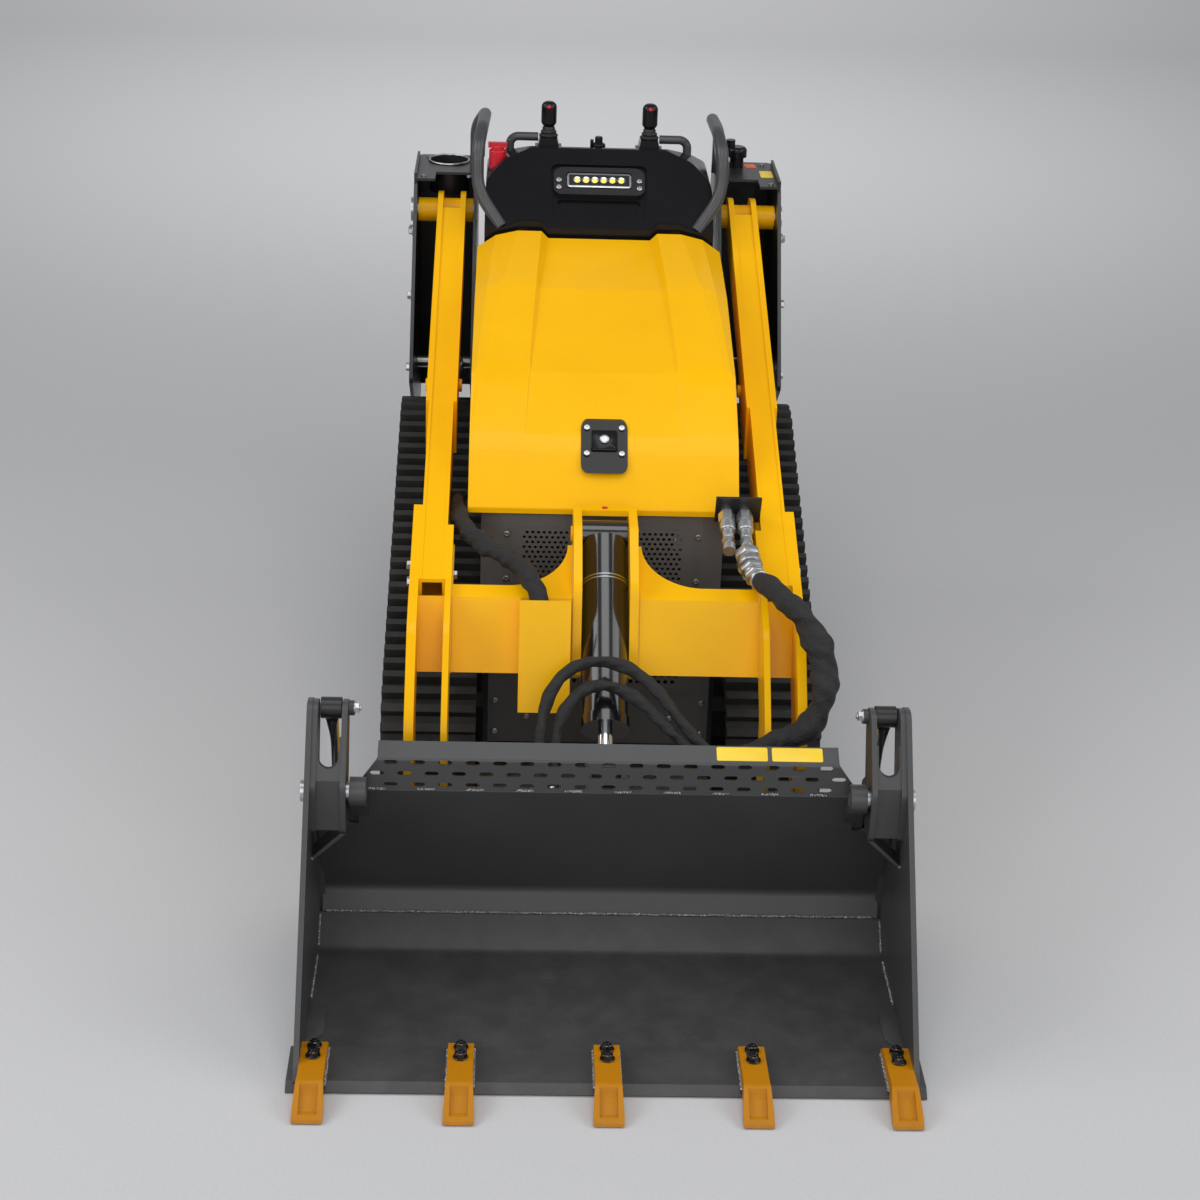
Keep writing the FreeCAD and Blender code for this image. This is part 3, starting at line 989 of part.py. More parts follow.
def hood_shoulder(drop):
    """Tool for the shoulder that falls away towards the cover's rear corner."""
    clear = z.hood_clear
    sections = []
    for y, top, share in hood_stations():
        run, fall = z.shoulder_run * share + 0.5, z.shoulder_fall * share
        sections.append((y, [(z.hood_half - run, top - drop),
                             (z.hood_half - run * 0.45, top - fall * 0.3 - drop),
                             (z.hood_half, top - fall - drop), (z.hood_half + clear, top - fall - drop),
                             (z.hood_half + clear, top + clear), (z.hood_half - run, top + clear)]))
    return lofted(sections)


def build_hood():
    wall = z.hood_wall
    skin = plate(hood_outline(Size.of(0)), -z.hood_half, z.hood_half * 2)
    core = plate([(c[0], c[1]) + tuple(c[2:]) for c in hood_outline(wall)[:6]]
                 + [(z.hood_rear_y + 10, z.hood_rear_z - wall), (z.hood_rear_y + 10, z.hood_front_z - 200),
                    (z.hood_front_y + wall, z.hood_front_z - 200)],
                 -z.hood_half + wall, (z.hood_half - wall) * 2)
    outer, inner = hood_shoulder(Size.of(0)), hood_shoulder(wall)
    inside = cut(core, hood_trough(wall), inner, mirror_x(inner))
    cover = cut(skin, hood_trough(Size.of(0)), outer, mirror_x(outer), inside)
    axis = (z.hood_rear_y, z.hood_rear_z - z.hood_hinge_drop)
    ear = cross_pin(z.hinge_x, z.hinge_x + z.hinge_ear, *axis, z.hinge_radius * 2)
    bore = cross_pin(z.hinge_x - 1, z.hinge_x + z.hinge_ear + 1, *axis, z.hinge_radius + z.pin_gap)
    node("hood", cut(fuse(cover, ear, mirror_x(ear)), bore, mirror_x(bore)))
    low, high = z.latch_low_z, z.latch_low_z + z.latch_high
    half = z.latch_half
    slab = plate([(z.hood_front_y, low - 40), (z.hood_front_y - 10, low - 40),
                  beside((z.hood_front_y, z.hood_front_z), (z.hood_nose_y, z.hood_nose_z), 100,
                         z.latch_thick),
                  beside((z.hood_nose_y, z.hood_nose_z), (z.hood_brow_y, z.hood_brow_z), 60, z.latch_thick),
                  (z.hood_nose_y + 60, high + 20), (z.hood_nose_y + 60, low - 40)], -half, half * 2)
    face = plate(mirrored([(half, low, 14), (half, high, 14)]), z.hood_front_y - 20, 240, "XZ")
    node("hood_latch", cut(common(slab, face), skin))


def build_operator_station():
    """What the operator holds and leans on: levers, rests, guard hoops, lamp, pad, caps and switch."""
    foot, top = (z.console_front_y, z.console_foot_z), (z.console_top_y, z.console_top_z)
    low, high, floor = z.lamp_foot, z.lamp_foot + z.lamp_high, -z.recess_deep
    bezel = leaning(mirrored([(z.lamp_half, low, 20), (z.lamp_half, high - 6, 24)]), foot, top, floor,
                    z.lamp_deep)
    window = leaning(mirrored([(z.lens_half + 4, low + 18, 8), (z.lens_half + 4, high - 20, 8)]), foot, top,
                     floor + 3, z.lamp_deep)
    lens = leaning(mirrored([(z.lens_half, low + 22, 4), (z.lens_half, high - 24, 4)]), foot, top, floor,
                   z.lamp_deep - 3)
    node("work_lamp", fuse(cut(bezel, window), lens))
    console = nodes["console"]
    seat = z.console_top_z - z.lever_drop

    def joystick():
        base = box(z.lever_x - 31, z.lever_x + 31, z.lever_y - 29, z.lever_y + 29, seat - 30, seat + 12)
        block = lofted([(z.lever_y - 24, [(z.lever_x - 26, seat + 11), (z.lever_x + 26, seat + 11),
                                          (z.lever_x + 20, seat + 36), (z.lever_x - 20, seat + 36)]),
                        (z.lever_y + 24, [(z.lever_x - 26, seat + 11), (z.lever_x + 26, seat + 11),
                                          (z.lever_x + 20, seat + 36), (z.lever_x - 20, seat + 36)])])
        radius = z.knob_radius
        grip = turned([(0, 34), (radius - 2, 34), (radius - 2, 42, 4), (radius * 0.5, 54, 5), (radius, 68, 4),
                       (radius, 118, 14), (0, 118)], z.lever_x, z.lever_y, seat)
        return cut(fuse(base, block, grip), console)

    node("joysticks", both_sides(joystick))
    rise = z.console_top_z + z.hoop_rise
    hoop = [(z.hoop_foot_x, z.console_front_y + 10, z.console_foot_z - 2), (z.hoop_x, 716, 1104),
            (z.hoop_x, 732, rise - 12), (z.hoop_x - 8, 790, rise + 22),
            (z.hoop_x - 14, z.hoop_rear_y - 30, rise + 26),
            (z.hoop_x + 8, z.hoop_rear_y, 1190), (z.hoop_x + 8, z.hoop_rear_y, z.tower_head_z + z.deck_plate)]
    bar = tube("guard_hoop", hoop, z.hoop_radius, 0.4)
    gusset = plate([(738, rise - 30), (752, rise + 2, 10), (838, rise + 20), (850, rise + 12)],
                   z.hoop_x - 16, z.deck_plate)
    right = cut(fuse(bar, gusset), console)
    node("guard_hoops", group(right, mirror_x(right)))
    grip = z.console_top_z + z.rest_rise
    rest = [(z.rest_x, z.lever_y, z.console_top_z - 70), (z.rest_x, z.lever_y, grip),
            (z.lever_x + 24, z.lever_y, grip)]
    right = cut(tube("hand_rest", rest, z.rest_radius, 0.3), console, nodes["joysticks"])
    node("hand_rests", group(right, mirror_x(right)))
    toggle = fuse(turned([(0, 0), (16, 0), (16, 34, 3), (9, 38), (9, 52, 3), (0, 52)], 0, z.lever_y,
                         seat - 14),
                  box(-20, -12, z.lever_y - 5, z.lever_y + 5, seat + 8, seat + 30))
    node("control_panel", cut(toggle, console))
    node("thigh_pad", plate([(z.console_rear_y, z.pad_low_z, 8),
                             (z.console_rear_y + z.pad_deep, z.pad_low_z, 24),
                             (z.console_rear_y + z.pad_deep, z.pad_high_z, 24),
                             (z.console_rear_y, z.pad_high_z, 8)],
                            -z.pad_half, z.pad_half * 2))
    node("filler_cap", fuse(turned([(0, 0), (17, 0), (17, 26, 2), (24, 26), (24, 50, 10), (0, 50)], 338, 1022,
                                   z.tower_head_z + z.deck_plate),
                            rod(322, 1022, z.tower_head_z + z.deck_plate + 48, 11, 18, ALONG_Z)))
    key = fuse(turned([(0, -30), (20, -30), (20, 12, 3), (13, 16), (13, 24, 3), (0, 24)], -z.switch_x,
                      z.switch_y,
                      z.console_top_z - z.brow_drop),
               box(-z.switch_x - 22, -z.switch_x + 22, z.switch_y - 6, z.switch_y + 6,
                   z.console_top_z - z.brow_drop + 18,
                   z.console_top_z - z.brow_drop + 30))
    node("battery_switch", cut(key, console))


def build_console():
    """Moulded console: a leaning face with a recess, a crowned top that falls to the operator, and a trim."""
    half, foot, top = (z.console_half, (z.console_front_y, z.console_foot_z),
                       (z.console_top_y, z.console_top_z))
    side = plate([(z.console_front_y, z.tub_rear_z), foot, (*top, 12),
                  (z.console_flat_y, z.console_top_z, 12),
                  (z.console_rear_y, z.console_rear_z, 20), (z.console_rear_y, z.console_base_z),
                  (z.tub_rear_y, z.console_base_z), (z.tub_rear_y, z.tub_rear_z)], -half, half * 2)
    crown = plate(mirrored([(half, z.tub_rear_z), (half, z.console_top_z - z.side_drop, 40),
                            (z.brow_half, z.console_top_z - z.brow_drop, 60),
                            (z.crown_half, z.console_top_z, 50)]),
                  z.console_front_y - 10, z.console_rear_y - z.console_front_y + 20, "XZ")
    trim_z = z.console_foot_z + z.trim_high
    trim = plate(mirrored([(z.trim_half, z.console_foot_z - z.hood_skirt),
                           (z.trim_half, z.console_foot_z - 18, 8),
                           (z.brow_half, z.console_foot_z, 20), (z.pad_to, trim_z, 12),
                           (z.pad_from, trim_z, 8),
                           (z.pad_from - z.trough_deep, z.console_foot_z, 6)]),
                 z.console_front_y, z.trim_deep, "XZ")
    recess = leaning(mirrored([(z.recess_half - 6, z.pocket_foot, 16),
                               (z.recess_half, z.lamp_foot + z.lamp_high + 6, 16)]),
                     foot, top, -z.recess_deep, 30)
    pocket = leaning(mirrored([(z.pocket_half - 16, z.pocket_foot + 8, 14),
                               (z.pocket_half, z.lamp_foot - 8, 10)]),
                     foot, top, -z.recess_deep * 2, 30)
    axis = (z.hood_rear_y, z.hood_rear_z - z.hood_hinge_drop)
    pin = cross_pin(z.hinge_x - z.hinge_leaf, z.hinge_x + z.hinge_ear + 4, *axis, z.hinge_radius)
    leaf = box(z.hinge_x - z.hinge_leaf, z.hinge_x - 4, axis[0], z.console_front_y, axis[1] - 12, axis[1])
    node("console", fuse(cut(common(side, crown), recess, pocket), trim, pin, leaf, mirror_x(pin),
                         mirror_x(leaf)))


# ------------------------------------------------------------------ running gear

def polar(centre_y, centre_z, radius, angle):
    """A point of the side view, at a radius and an angle from a centre."""
    return V(0, centre_y + radius * math.cos(angle), centre_z + radius * math.sin(angle))


def belt_headings(wheels):
    """Angle of the outward normal of each straight run, from one wheel to the next."""
    headings = []
    for i, (y, height, radius) in enumerate(wheels):
        next_y, next_z, next_radius = wheels[(i + 1) % len(wheels)]
        reach = math.hypot(next_y - y, next_z - height)
        heading = math.atan2(next_z - height, next_y - y)
        headings.append(heading - math.acos((radius - next_radius) / reach))
    return headings


def belt_wire(wheels, inset):
    """The belt's closed line, set in by inset: straight runs and arcs round the wheels."""
    headings = belt_headings(wheels)
    edges = []
    for i, (y, height, radius) in enumerate(wheels):
        arrive, leave = headings[i - 1], headings[i]
        sweep = (leave - arrive) % (2 * math.pi)
        first, middle, last = [polar(y, height, radius - inset, arrive + sweep * part) for part in (0, 0.5,
                                                                                                    1)]
        edges.append(Part.Arc(first, middle, last).toShape())
        next_y, next_z, next_radius = wheels[(i + 1) % len(wheels)]
        edges.append(Part.LineSegment(last, polar(next_y, next_z, next_radius - inset, leave)).toShape())
    return Part.Wire(edges)


def belt_walk(wheels):
    """Length of the belt's outer line, and a function from (distance, rise) to a point over it."""
    headings = belt_headings(wheels)
    stretches = []
    travelled = 0.0
    for i, (y, height, radius) in enumerate(wheels):
        arrive, leave = headings[i - 1], headings[i]
        sweep = (leave - arrive) % (2 * math.pi)
        stretches.append((travelled, (y, height, radius, arrive)))
        travelled += sweep * radius
        next_y, next_z, next_radius = wheels[(i + 1) % len(wheels)]
        start, finish = polar(y, height, radius, leave), polar(next_y, next_z, next_radius, leave)
        stretches.append((travelled, (start, (finish - start).normalize(), leave)))
        travelled += (finish - start).Length

    def point(distance, rise):
        distance %= travelled
        begun, stretch = [item for item in stretches if item[0] <= distance][-1]
        if len(stretch) == 4:
            y, height, radius, arrive = stretch
            return polar(y, height, radius + rise, arrive + (distance - begun) / radius)
        start, along, leave = stretch
        return start + along * (distance - begun) + polar(0, 0, rise, leave)

    return travelled, point


def track_shape(side):
    """Rubber track: a belt round the wheels with straight lugs across it at an even pitch."""
    lug = z.lug_height.value
    wheels = [(z.front_idler_y.value, z.front_idler_z.value, z.front_idler_z.value - lug),
              (z.rear_idler_y.value, z.rear_idler_z.value, z.rear_idler_z.value - lug),
              (z.sprocket_y.value, z.sprocket_z.value, z.sprocket_radius.value - lug)]
    length, point = belt_walk(wheels)
    count = round(length / z.lug_pitch.value)
    root, crest = z.lug_root.value / 2, z.lug_crest.value / 2
    corners = []
    for i in range(count):
        middle = length * i / count
        corners += [point(middle - root, 0), point(middle - crest, lug),
                    point(middle + crest, lug), point(middle + root, 0)]
    rim = Part.Face(Part.makePolygon(corners + corners[:1]))
    hollow = Part.Face(belt_wire(wheels, z.belt_thick.value))
    width = z.track_width.value
    belt = rim.cut(hollow).extrude(V(width, 0, 0))
    belt.translate(V(z.track_outer.value - width if side > 0 else -z.track_outer.value, 0, 0))
    return belt


def wheel(y, height, radius):
    """A roller on its axle inside a track."""
    x = z.track_outer - z.track_width / 2
    disc = cross_pin(x - z.wheel_width / 2, x + z.wheel_width / 2, y, height, radius)
    return cut(disc, cross_pin(x - z.wheel_width, x + z.wheel_width, y, height, z.axle_radius + z.pin_gap))


def idler(y, height, radius):
    """A turned idler: a broad rim, a thin dished web and a hub round its axle."""
    half, bore = z.wheel_width / 2, z.axle_radius + z.pin_gap
    profile = [(bore, -half * 0.7), (bore + 22, -half * 0.7), (bore + 34, -z.idler_web),
               (radius - z.idler_rim - 6, -z.idler_web), (radius - z.idler_rim, -half), (radius, -half),
               (radius, half), (radius - z.idler_rim, half), (radius - z.idler_rim - 6, z.idler_web),
               (bore + 34, z.idler_web), (bore + 22, half * 0.7), (bore, half * 0.7)]
    return turned(profile, z.track_outer - z.track_width / 2, y, height, ALONG_X)


def sprocket():
    """Drive sprocket: a toothed disc on the drive motor's hub."""
    tip = (z.sprocket_radius - z.belt_thick - z.lug_height - z.wheel_gap).value
    root, count = tip - z.sprocket_tooth.value, int(z.sprocket_teeth.value)
    points = []
    for i in range(count):
        for part, radius in ((-0.36, root), (-0.16, tip), (0.16, tip), (0.36, root)):
            points.append(polar(z.sprocket_y.value, z.sprocket_z.value, radius,
                                2 * math.pi * (i + part) / count))
    disc = Part.Face(Part.makePolygon(points + points[:1])).extrude(V(z.sprocket_disc.value, 0, 0))
    x = z.track_outer - z.track_width / 2
    disc.translate(V((x - z.sprocket_disc / 2).value, 0, 0))
    hub = cross_pin(x - z.wheel_width / 2, x + z.wheel_width / 2, z.sprocket_y, z.sprocket_z,
                    z.motor_radius - 6)
    return fuse(made(disc, "Toothed"), hub)


def build_running_gear():
    node("track_right", made(track_shape(1)))
    node("track_left", made(track_shape(-1)))
    slack = z.belt_thick + z.lug_height + z.wheel_gap
    node("sprockets", both_sides(sprocket))
    node("front_idlers", both_sides(lambda: idler(z.front_idler_y, z.front_idler_z, z.front_idler_z - slack)))
    node("rear_idlers", both_sides(lambda: idler(z.rear_idler_y, z.rear_idler_z, z.rear_idler_z - slack)))
    rollers = [both_sides(lambda place=place: wheel(*place,
                                                    z.roller_radius)) for place in wheel_centres()[2:]]
    node("track_rollers", group(*rollers))
    node("track_frames", both_sides(track_frame))
    node("drive_motors", both_sides(drive_motor))


def track_frame():
    """Frame inside a track: two plates with the axles of idlers and rollers, and arms to the tub."""
    x = z.track_outer - z.track_width / 2
    gap = z.wheel_width / 2 + 3
    outline = [(z.front_idler_y - 34, z.front_idler_z - 30, 20),
               (z.front_idler_y - 34, z.front_idler_z + 34, 20),
               (z.sprocket_y, z.front_idler_z + 90, 60), (z.rear_idler_y + 34, z.rear_idler_z + 34, 20),
               (z.rear_idler_y + 34, z.rear_idler_z - 34, 20), (z.front_idler_y + 90, 78, 40)]
    t = z.frame_plate
    sheets = [plate(outline, x - gap - t, t), plate(outline, x + gap, t)]
    axles = []
    for y, height in wheel_centres():
        axles.append(cross_pin(x - gap - t, x + gap + t, y, height, z.axle_radius))
    arms = []
    for y in (z.front_idler_y + 160, z.rear_idler_y - 190):
        arms.append(box(z.tub_half, x - gap - t, y - 35, y + 35, z.tub_floor_z + 20, z.tub_floor_z + 80))
    return fuse(*sheets, *axles, *arms)


def wheel_centres():
    """Axle places of the idlers and of the three ground rollers."""
    height = z.belt_thick + z.lug_height + z.wheel_gap + z.roller_radius
    middle = (z.front_idler_y + z.rear_idler_y) / 2
    rollers = [(middle + z.roller_pitch * (i - 1), height) for i in range(3)]
    return [(z.front_idler_y, z.front_idler_z), (z.rear_idler_y, z.rear_idler_z)] + rollers


def drive_motor():
    """Drive motor between the tub and a sprocket."""
    x = z.track_outer - z.track_width / 2 - z.wheel_width / 2
    return cross_pin(z.tub_half, x, z.sprocket_y, z.sprocket_z, z.motor_radius)


def build_platform():
    """Folding platform: a tread plate with turned-down edges, on two arms from the tub."""
    half, front, rear, wall = z.platform_half, z.platform_front_y, z.platform_rear_y, z.platform_plate
    tread = plate([(-half, front), (half, front), (half, rear, 40), (-half, rear, 40)], z.platform_z,
                  z.platform_high, "XY")
    under = plate([(-half + wall, front + wall), (half - wall, front + wall), (half - wall, rear - wall, 36),
                   (-half + wall, rear - wall, 36)], z.platform_z - 1, z.platform_high - wall + 1, "XY")
    arms = [box(x - 25, x + 25, z.tub_rear_y, front, z.platform_z, z.platform_z + z.platform_high * 2)
            for x in (half - 60, 60 - half)]
    ribs = [box(x - wall, x + wall, front, rear - wall, z.platform_z, z.platform_z + z.platform_high - wall)
            for x in (half - 60, 60 - half)]
    node("platform", fuse(cut(tread, under), *arms, *ribs))


build_clam()
build_back()
build_boom()
build_cylinders()
build_chassis()
build_towers()
build_hood()
build_console()
build_operator_station()
build_running_gear()
build_platform()
doc.recompute()

for obj in doc.Objects:
    if "Invalid" in obj.State or "Error" in obj.State:
        raise RuntimeError("{} could not be made: {}".format(obj.Label, obj.State))
os.makedirs("parts", exist_ok=True)
for name, obj in nodes.items():
    if obj.Shape.isNull() or not obj.Shape.isValid() or not obj.Shape.Solids:
        raise RuntimeError("{} has no valid solid".format(name))
for name, obj in nodes.items():
    obj.Shape.exportStep("parts/{}.step".format(name))
print("{} sub-parts, {} solids".format(len(nodes), sum(len(obj.Shape.Solids) for obj in nodes.values())))
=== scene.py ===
"""Looks of the stand-on mini track loader: finishes, hoses, fasteners, welds and small fittings.

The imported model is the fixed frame. Lengths are in metres; +Z is up and the bucket faces -Y.
"""

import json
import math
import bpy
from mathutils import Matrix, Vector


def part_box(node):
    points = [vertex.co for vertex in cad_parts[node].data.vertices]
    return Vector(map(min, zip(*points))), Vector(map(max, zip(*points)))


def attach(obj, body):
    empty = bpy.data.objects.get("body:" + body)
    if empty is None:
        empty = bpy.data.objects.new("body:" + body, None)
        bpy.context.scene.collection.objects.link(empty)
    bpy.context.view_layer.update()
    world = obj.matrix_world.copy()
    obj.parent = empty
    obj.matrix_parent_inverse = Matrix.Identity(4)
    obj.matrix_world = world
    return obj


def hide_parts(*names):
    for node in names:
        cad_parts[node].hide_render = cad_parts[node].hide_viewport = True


bl_info = {
    "name": "Mini Track Loader Dressing",
    "version": (1, 0, 0),
    "blender": (4, 5, 0),
    "location": "View3D > Sidebar > Loader",
    "description": "Paint, rubber, hoses, fasteners, welds and lamps for the mini track loader",
    "category": "Add Mesh",
}

import bpy
from bpy.props import FloatProperty, FloatVectorProperty, IntProperty, PointerProperty
from mathutils import Matrix, Quaternion, Vector

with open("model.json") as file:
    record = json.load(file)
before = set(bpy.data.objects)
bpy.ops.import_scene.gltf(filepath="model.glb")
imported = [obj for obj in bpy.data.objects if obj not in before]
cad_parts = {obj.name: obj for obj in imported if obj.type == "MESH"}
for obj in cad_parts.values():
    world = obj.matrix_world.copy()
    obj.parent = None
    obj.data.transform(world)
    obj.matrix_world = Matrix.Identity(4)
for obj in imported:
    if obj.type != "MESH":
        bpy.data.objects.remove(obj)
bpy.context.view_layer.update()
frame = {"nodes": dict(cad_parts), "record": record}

RIGHT, LEFT, FRONT, REAR, TOP = (1, 0, 0), (-1, 0, 0), (0, -1, 0), (0, 1, 0), (0, 0, 1)
LAMP_AHEAD = (0, -0.607, 0.795)
LIP_AHEAD = (0, -0.467, 0.884)
LATCH_AHEAD = (0, -0.65, 0.76)
PANEL_AHEAD = (0, 0.48, 0.877)

# Middles of the latch, the lamp and the console's panel, and measures that several pieces share.
LATCH = Vector((0, -0.0533, 0.7906))
LAMP = Vector((0, 0.7715, 1.1165))
PANEL = Vector((0, 0.955, 1.1243))
DECK_TOP = 1.094
PLATFORM_TOP = 0.195
SIDE_PLATE = 0.010

# Pins of the cylinders' rod ends, in y and z.
TILT_PIN, LIFT_PIN, CLAM_PIN = (-0.660, 0.345), (0.297, 0.780), (-0.737, 0.519)


# ------------------------------------------------------------------ settings

class PaintSettings(bpy.types.PropertyGroup):
    """Colours of the machine's finishes."""

    yellow: FloatVectorProperty(name="Machine yellow", description="Paint of the cover and the boom",
                                subtype="COLOR", default=(0.92, 0.475, 0.0005), min=0, max=1)
    black: FloatVectorProperty(name="Frame black", description="Paint of chassis, towers and wheels",
                               subtype="COLOR", default=(0.016, 0.016, 0.017), min=0, max=1)
    grey: FloatVectorProperty(name="Bucket grey", description="Paint of the bucket", subtype="COLOR",
                              default=(0.046, 0.0465, 0.048), min=0, max=1)
    panel: FloatVectorProperty(name="Panel grey", description="Paint of the perforated panels",
                               subtype="COLOR", default=(0.125, 0.124, 0.122), min=0, max=1)
    amber: FloatVectorProperty(name="Tooth amber", description="Paint of the teeth", subtype="COLOR",
                               default=(0.50, 0.195, 0.001), min=0, max=1)
    rubber: FloatVectorProperty(name="Rubber", description="Tracks and mat", subtype="COLOR",
                                default=(0.0135, 0.014, 0.0135), min=0, max=1)


class PartSettings(bpy.types.PropertyGroup):
    """Sizes of the small parts."""

    bolt: FloatProperty(name="Bolt", description="Radius over the corners of a large bolt's head", default=0.0095,
                        unit="LENGTH", min=0.002)
    screw: FloatProperty(name="Screw", description="Radius of a panel screw's head", default=0.006,
                         unit="LENGTH", min=0.001)
    bead: FloatProperty(name="Weld bead", description="Half width of a weld bead", default=0.0032,
                        unit="LENGTH", min=0.001)
    sleeve: FloatProperty(name="Sleeve slack", description="How far the hose sleeve stands off its hoses",
                          default=0.007, unit="LENGTH", min=0)
    diodes: IntProperty(name="Lamp diodes", description="Reflectors across the work lamp", default=6, min=1)


class StageSettings(bpy.types.PropertyGroup):
    """Camera, lamps and floor."""

    lens: FloatProperty(name="Lens", description="Focal length on a 36 mm sensor", default=71.85, unit="CAMERA")
    floor: FloatVectorProperty(name="Floor", description="Floor and backdrop", subtype="COLOR",
                               default=(0.56, 0.56, 0.57), min=0, max=1)
    key_power: FloatProperty(name="Key light", description="Power of the overhead soft box", default=30,
                             unit="POWER", min=0)
    fill_power: FloatProperty(name="Fill light", description="Power of the side soft boxes", default=50,
                              unit="POWER", min=0)


# ------------------------------------------------------------------ shader maths

class Signal:
    """A shader socket that takes part in Python expressions."""

    def __init__(self, tree, socket):
        self.tree, self.socket = tree, socket

    def maths(self, operation, first, second=None):
        step = self.tree.nodes.new("ShaderNodeMath")
        step.operation = operation
        for slot, value in zip(step.inputs, (first, second)):
            if isinstance(value, Signal):
                self.tree.links.new(value.socket, slot)
            elif value is not None:
                slot.default_value = value
        return Signal(self.tree, step.outputs[0])

    def __add__(self, other):
        return self.maths("ADD", self, other)

    def __sub__(self, other):
        return self.maths("SUBTRACT", self, other)

    def __rsub__(self, other):
        return self.maths("SUBTRACT", other, self)

    def __mul__(self, other):
        return self.maths("MULTIPLY", self, other)

    def __pow__(self, other):
        return self.maths("POWER", self, other)

    def __rpow__(self, other):
        return self.maths("POWER", other, self)

    def __lt__(self, other):
        return self.maths("LESS_THAN", self, other)

    def most(self, other):
        return self.maths("MAXIMUM", self, other)

    __radd__ = __add__
    __rmul__ = __mul__


class Finish:
    """A material around one Principled surface."""

    def __init__(self, name, **sockets):
        plain = bpy.data.materials.get(name)
        if plain:
            plain.name = name + "_plain"
        self.material = bpy.data.materials.new(name)
        self.material.use_nodes = True
        self.tree = self.material.node_tree
        self.surface = self.tree.nodes["Principled BSDF"]
        for socket, value in sockets.items():
            self.surface.inputs[socket.replace("_", " ")].default_value = (
                (*value, 1.0) if isinstance(value, tuple) and len(value) == 3 else value)

    def node(self, kind, settings=None, output=0, **sockets):
        """Adds a node: its settings first, then the values or signals of its sockets."""
        added = self.tree.nodes.new("ShaderNode" + kind)
        for name, value in (settings or {}).items():
            if name == "stops":
                for stop, (place, shade) in zip(added.color_ramp.elements, value):
                    stop.position = place
                    stop.color = (shade, shade, shade, 1)
            else:
                setattr(added, name, value)
        for name, value in sockets.items():
            slot = added.inputs[int(name[1:])] if name[1:].isdigit() else added.inputs[name.replace("_", " ")]
            if isinstance(value, Signal):
                self.tree.links.new(value.socket, slot)
            else:
                slot.default_value = value
        return Signal(self.tree, added.outputs[output])

    def place(self):
        """Object coordinates, which are the frame's metres."""
        return self.node("TexCoord", output=3)

    def noise(self, scale, detail=3.0, roughness=0.55, stretch=None):
        where = self.place()
        if stretch:
            where = self.node("Mapping", Vector=where, Scale=stretch)
        return self.node("TexNoise", Vector=where, Scale=scale, Detail=detail, Roughness=roughness)

    def ramp(self, signal, low, high):
        """Rises from black at the low value to white at the high one."""
        return self.node("ValToRGB", {"stops": ((low, 0.0), (high, 1.0))}, Fac=signal)

    def mix(self, factor, first, second):
        """Blends two colours."""
        sockets = {}
        for index, value in (("_6", first), ("_7", second)):
            sockets[index] = value if isinstance(value, Signal) else (*value, 1.0)
        return self.node("Mix", {"data_type": "RGBA"}, output=2, _0=factor, **sockets)

    def feed(self, socket, signal):
        self.tree.links.new(signal.socket, self.surface.inputs[socket])

    def bump(self, height, distance, strength=1.0):
        self.feed("Normal", self.node("Bump", Height=height, Distance=distance, Strength=strength))

    def low_dust(self, tone, colour, level):
        """Dust that thickens towards the ground, up to a level in metres."""
        height = self.node("SeparateXYZ", output=2, Vector=self.place())
        fade = self.node("MapRange", Value=height, From_Min=0.0, From_Max=level, To_Min=1.0, To_Max=0.0)
        patches = self.ramp(self.noise(14.0, 6.0, 0.7), 0.42, 0.75)
        return self.mix(fade * patches * 0.5, tone, colour)


def scaled(colour, factor):
    return tuple(min(1.0, part * factor) for part in colour)


# ------------------------------------------------------------------ finishes

DUST = (0.10, 0.095, 0.085)
CHROME = (0.75, 0.76, 0.78)


def paint_finish(name, colour, roughness, coat, texture, dust, specular):
    """Sprayed paint: orange peel, soft blotches of gloss, fine specks, and dust low down."""
    paint = Finish(name, Base_Color=colour, Roughness=roughness, Coat_Weight=coat, Coat_Roughness=0.1,
                   Specular_IOR_Level=specular)
    blotch = paint.noise(3.0, 4.0)
    tone = paint.mix(paint.ramp(blotch, 0.35, 0.7), scaled(colour, 0.95), scaled(colour, 1.04))
    speck = paint.ramp(paint.noise(260.0, 2.0), 0.68, 0.80)
    tone = paint.mix(speck * 0.10, tone, scaled(colour, 1.3))
    paint.feed("Base Color", paint.low_dust(tone, DUST, dust) if dust else tone)
    paint.feed("Roughness", blotch * 0.12 + (roughness - 0.06))
    paint.bump(paint.noise(420.0, 2.0) * texture, 0.0006)


def bucket_finish(name, colour):
    """Sprayed steel: fine grit, faint scratches along the width and bright worn specks."""
    paint = Finish(name, Base_Color=colour, Roughness=0.42, Coat_Weight=0.12, Coat_Roughness=0.3)
    blotch = paint.noise(5.0, 5.0)
    scratch = paint.noise(60.0, 3.0, 0.6, stretch=(0.06, 1.0, 1.0))
    tone = paint.mix(paint.ramp(blotch, 0.3, 0.75), scaled(colour, 0.91), scaled(colour, 1.10))
    tone = paint.mix(paint.ramp(scratch, 0.70, 0.76) * 0.3, tone, scaled(colour, 2.4))
    speck = paint.ramp(paint.noise(900.0, 2.0), 0.69, 0.74)
    tone = paint.mix(speck * 0.25, tone, scaled(colour, 4.5))
    paint.feed("Base Color", paint.low_dust(tone, DUST, 0.12))
    paint.feed("Roughness", blotch * 0.2 + 0.34)
    paint.bump(paint.noise(500.0, 2.0), 0.0005, 0.5)


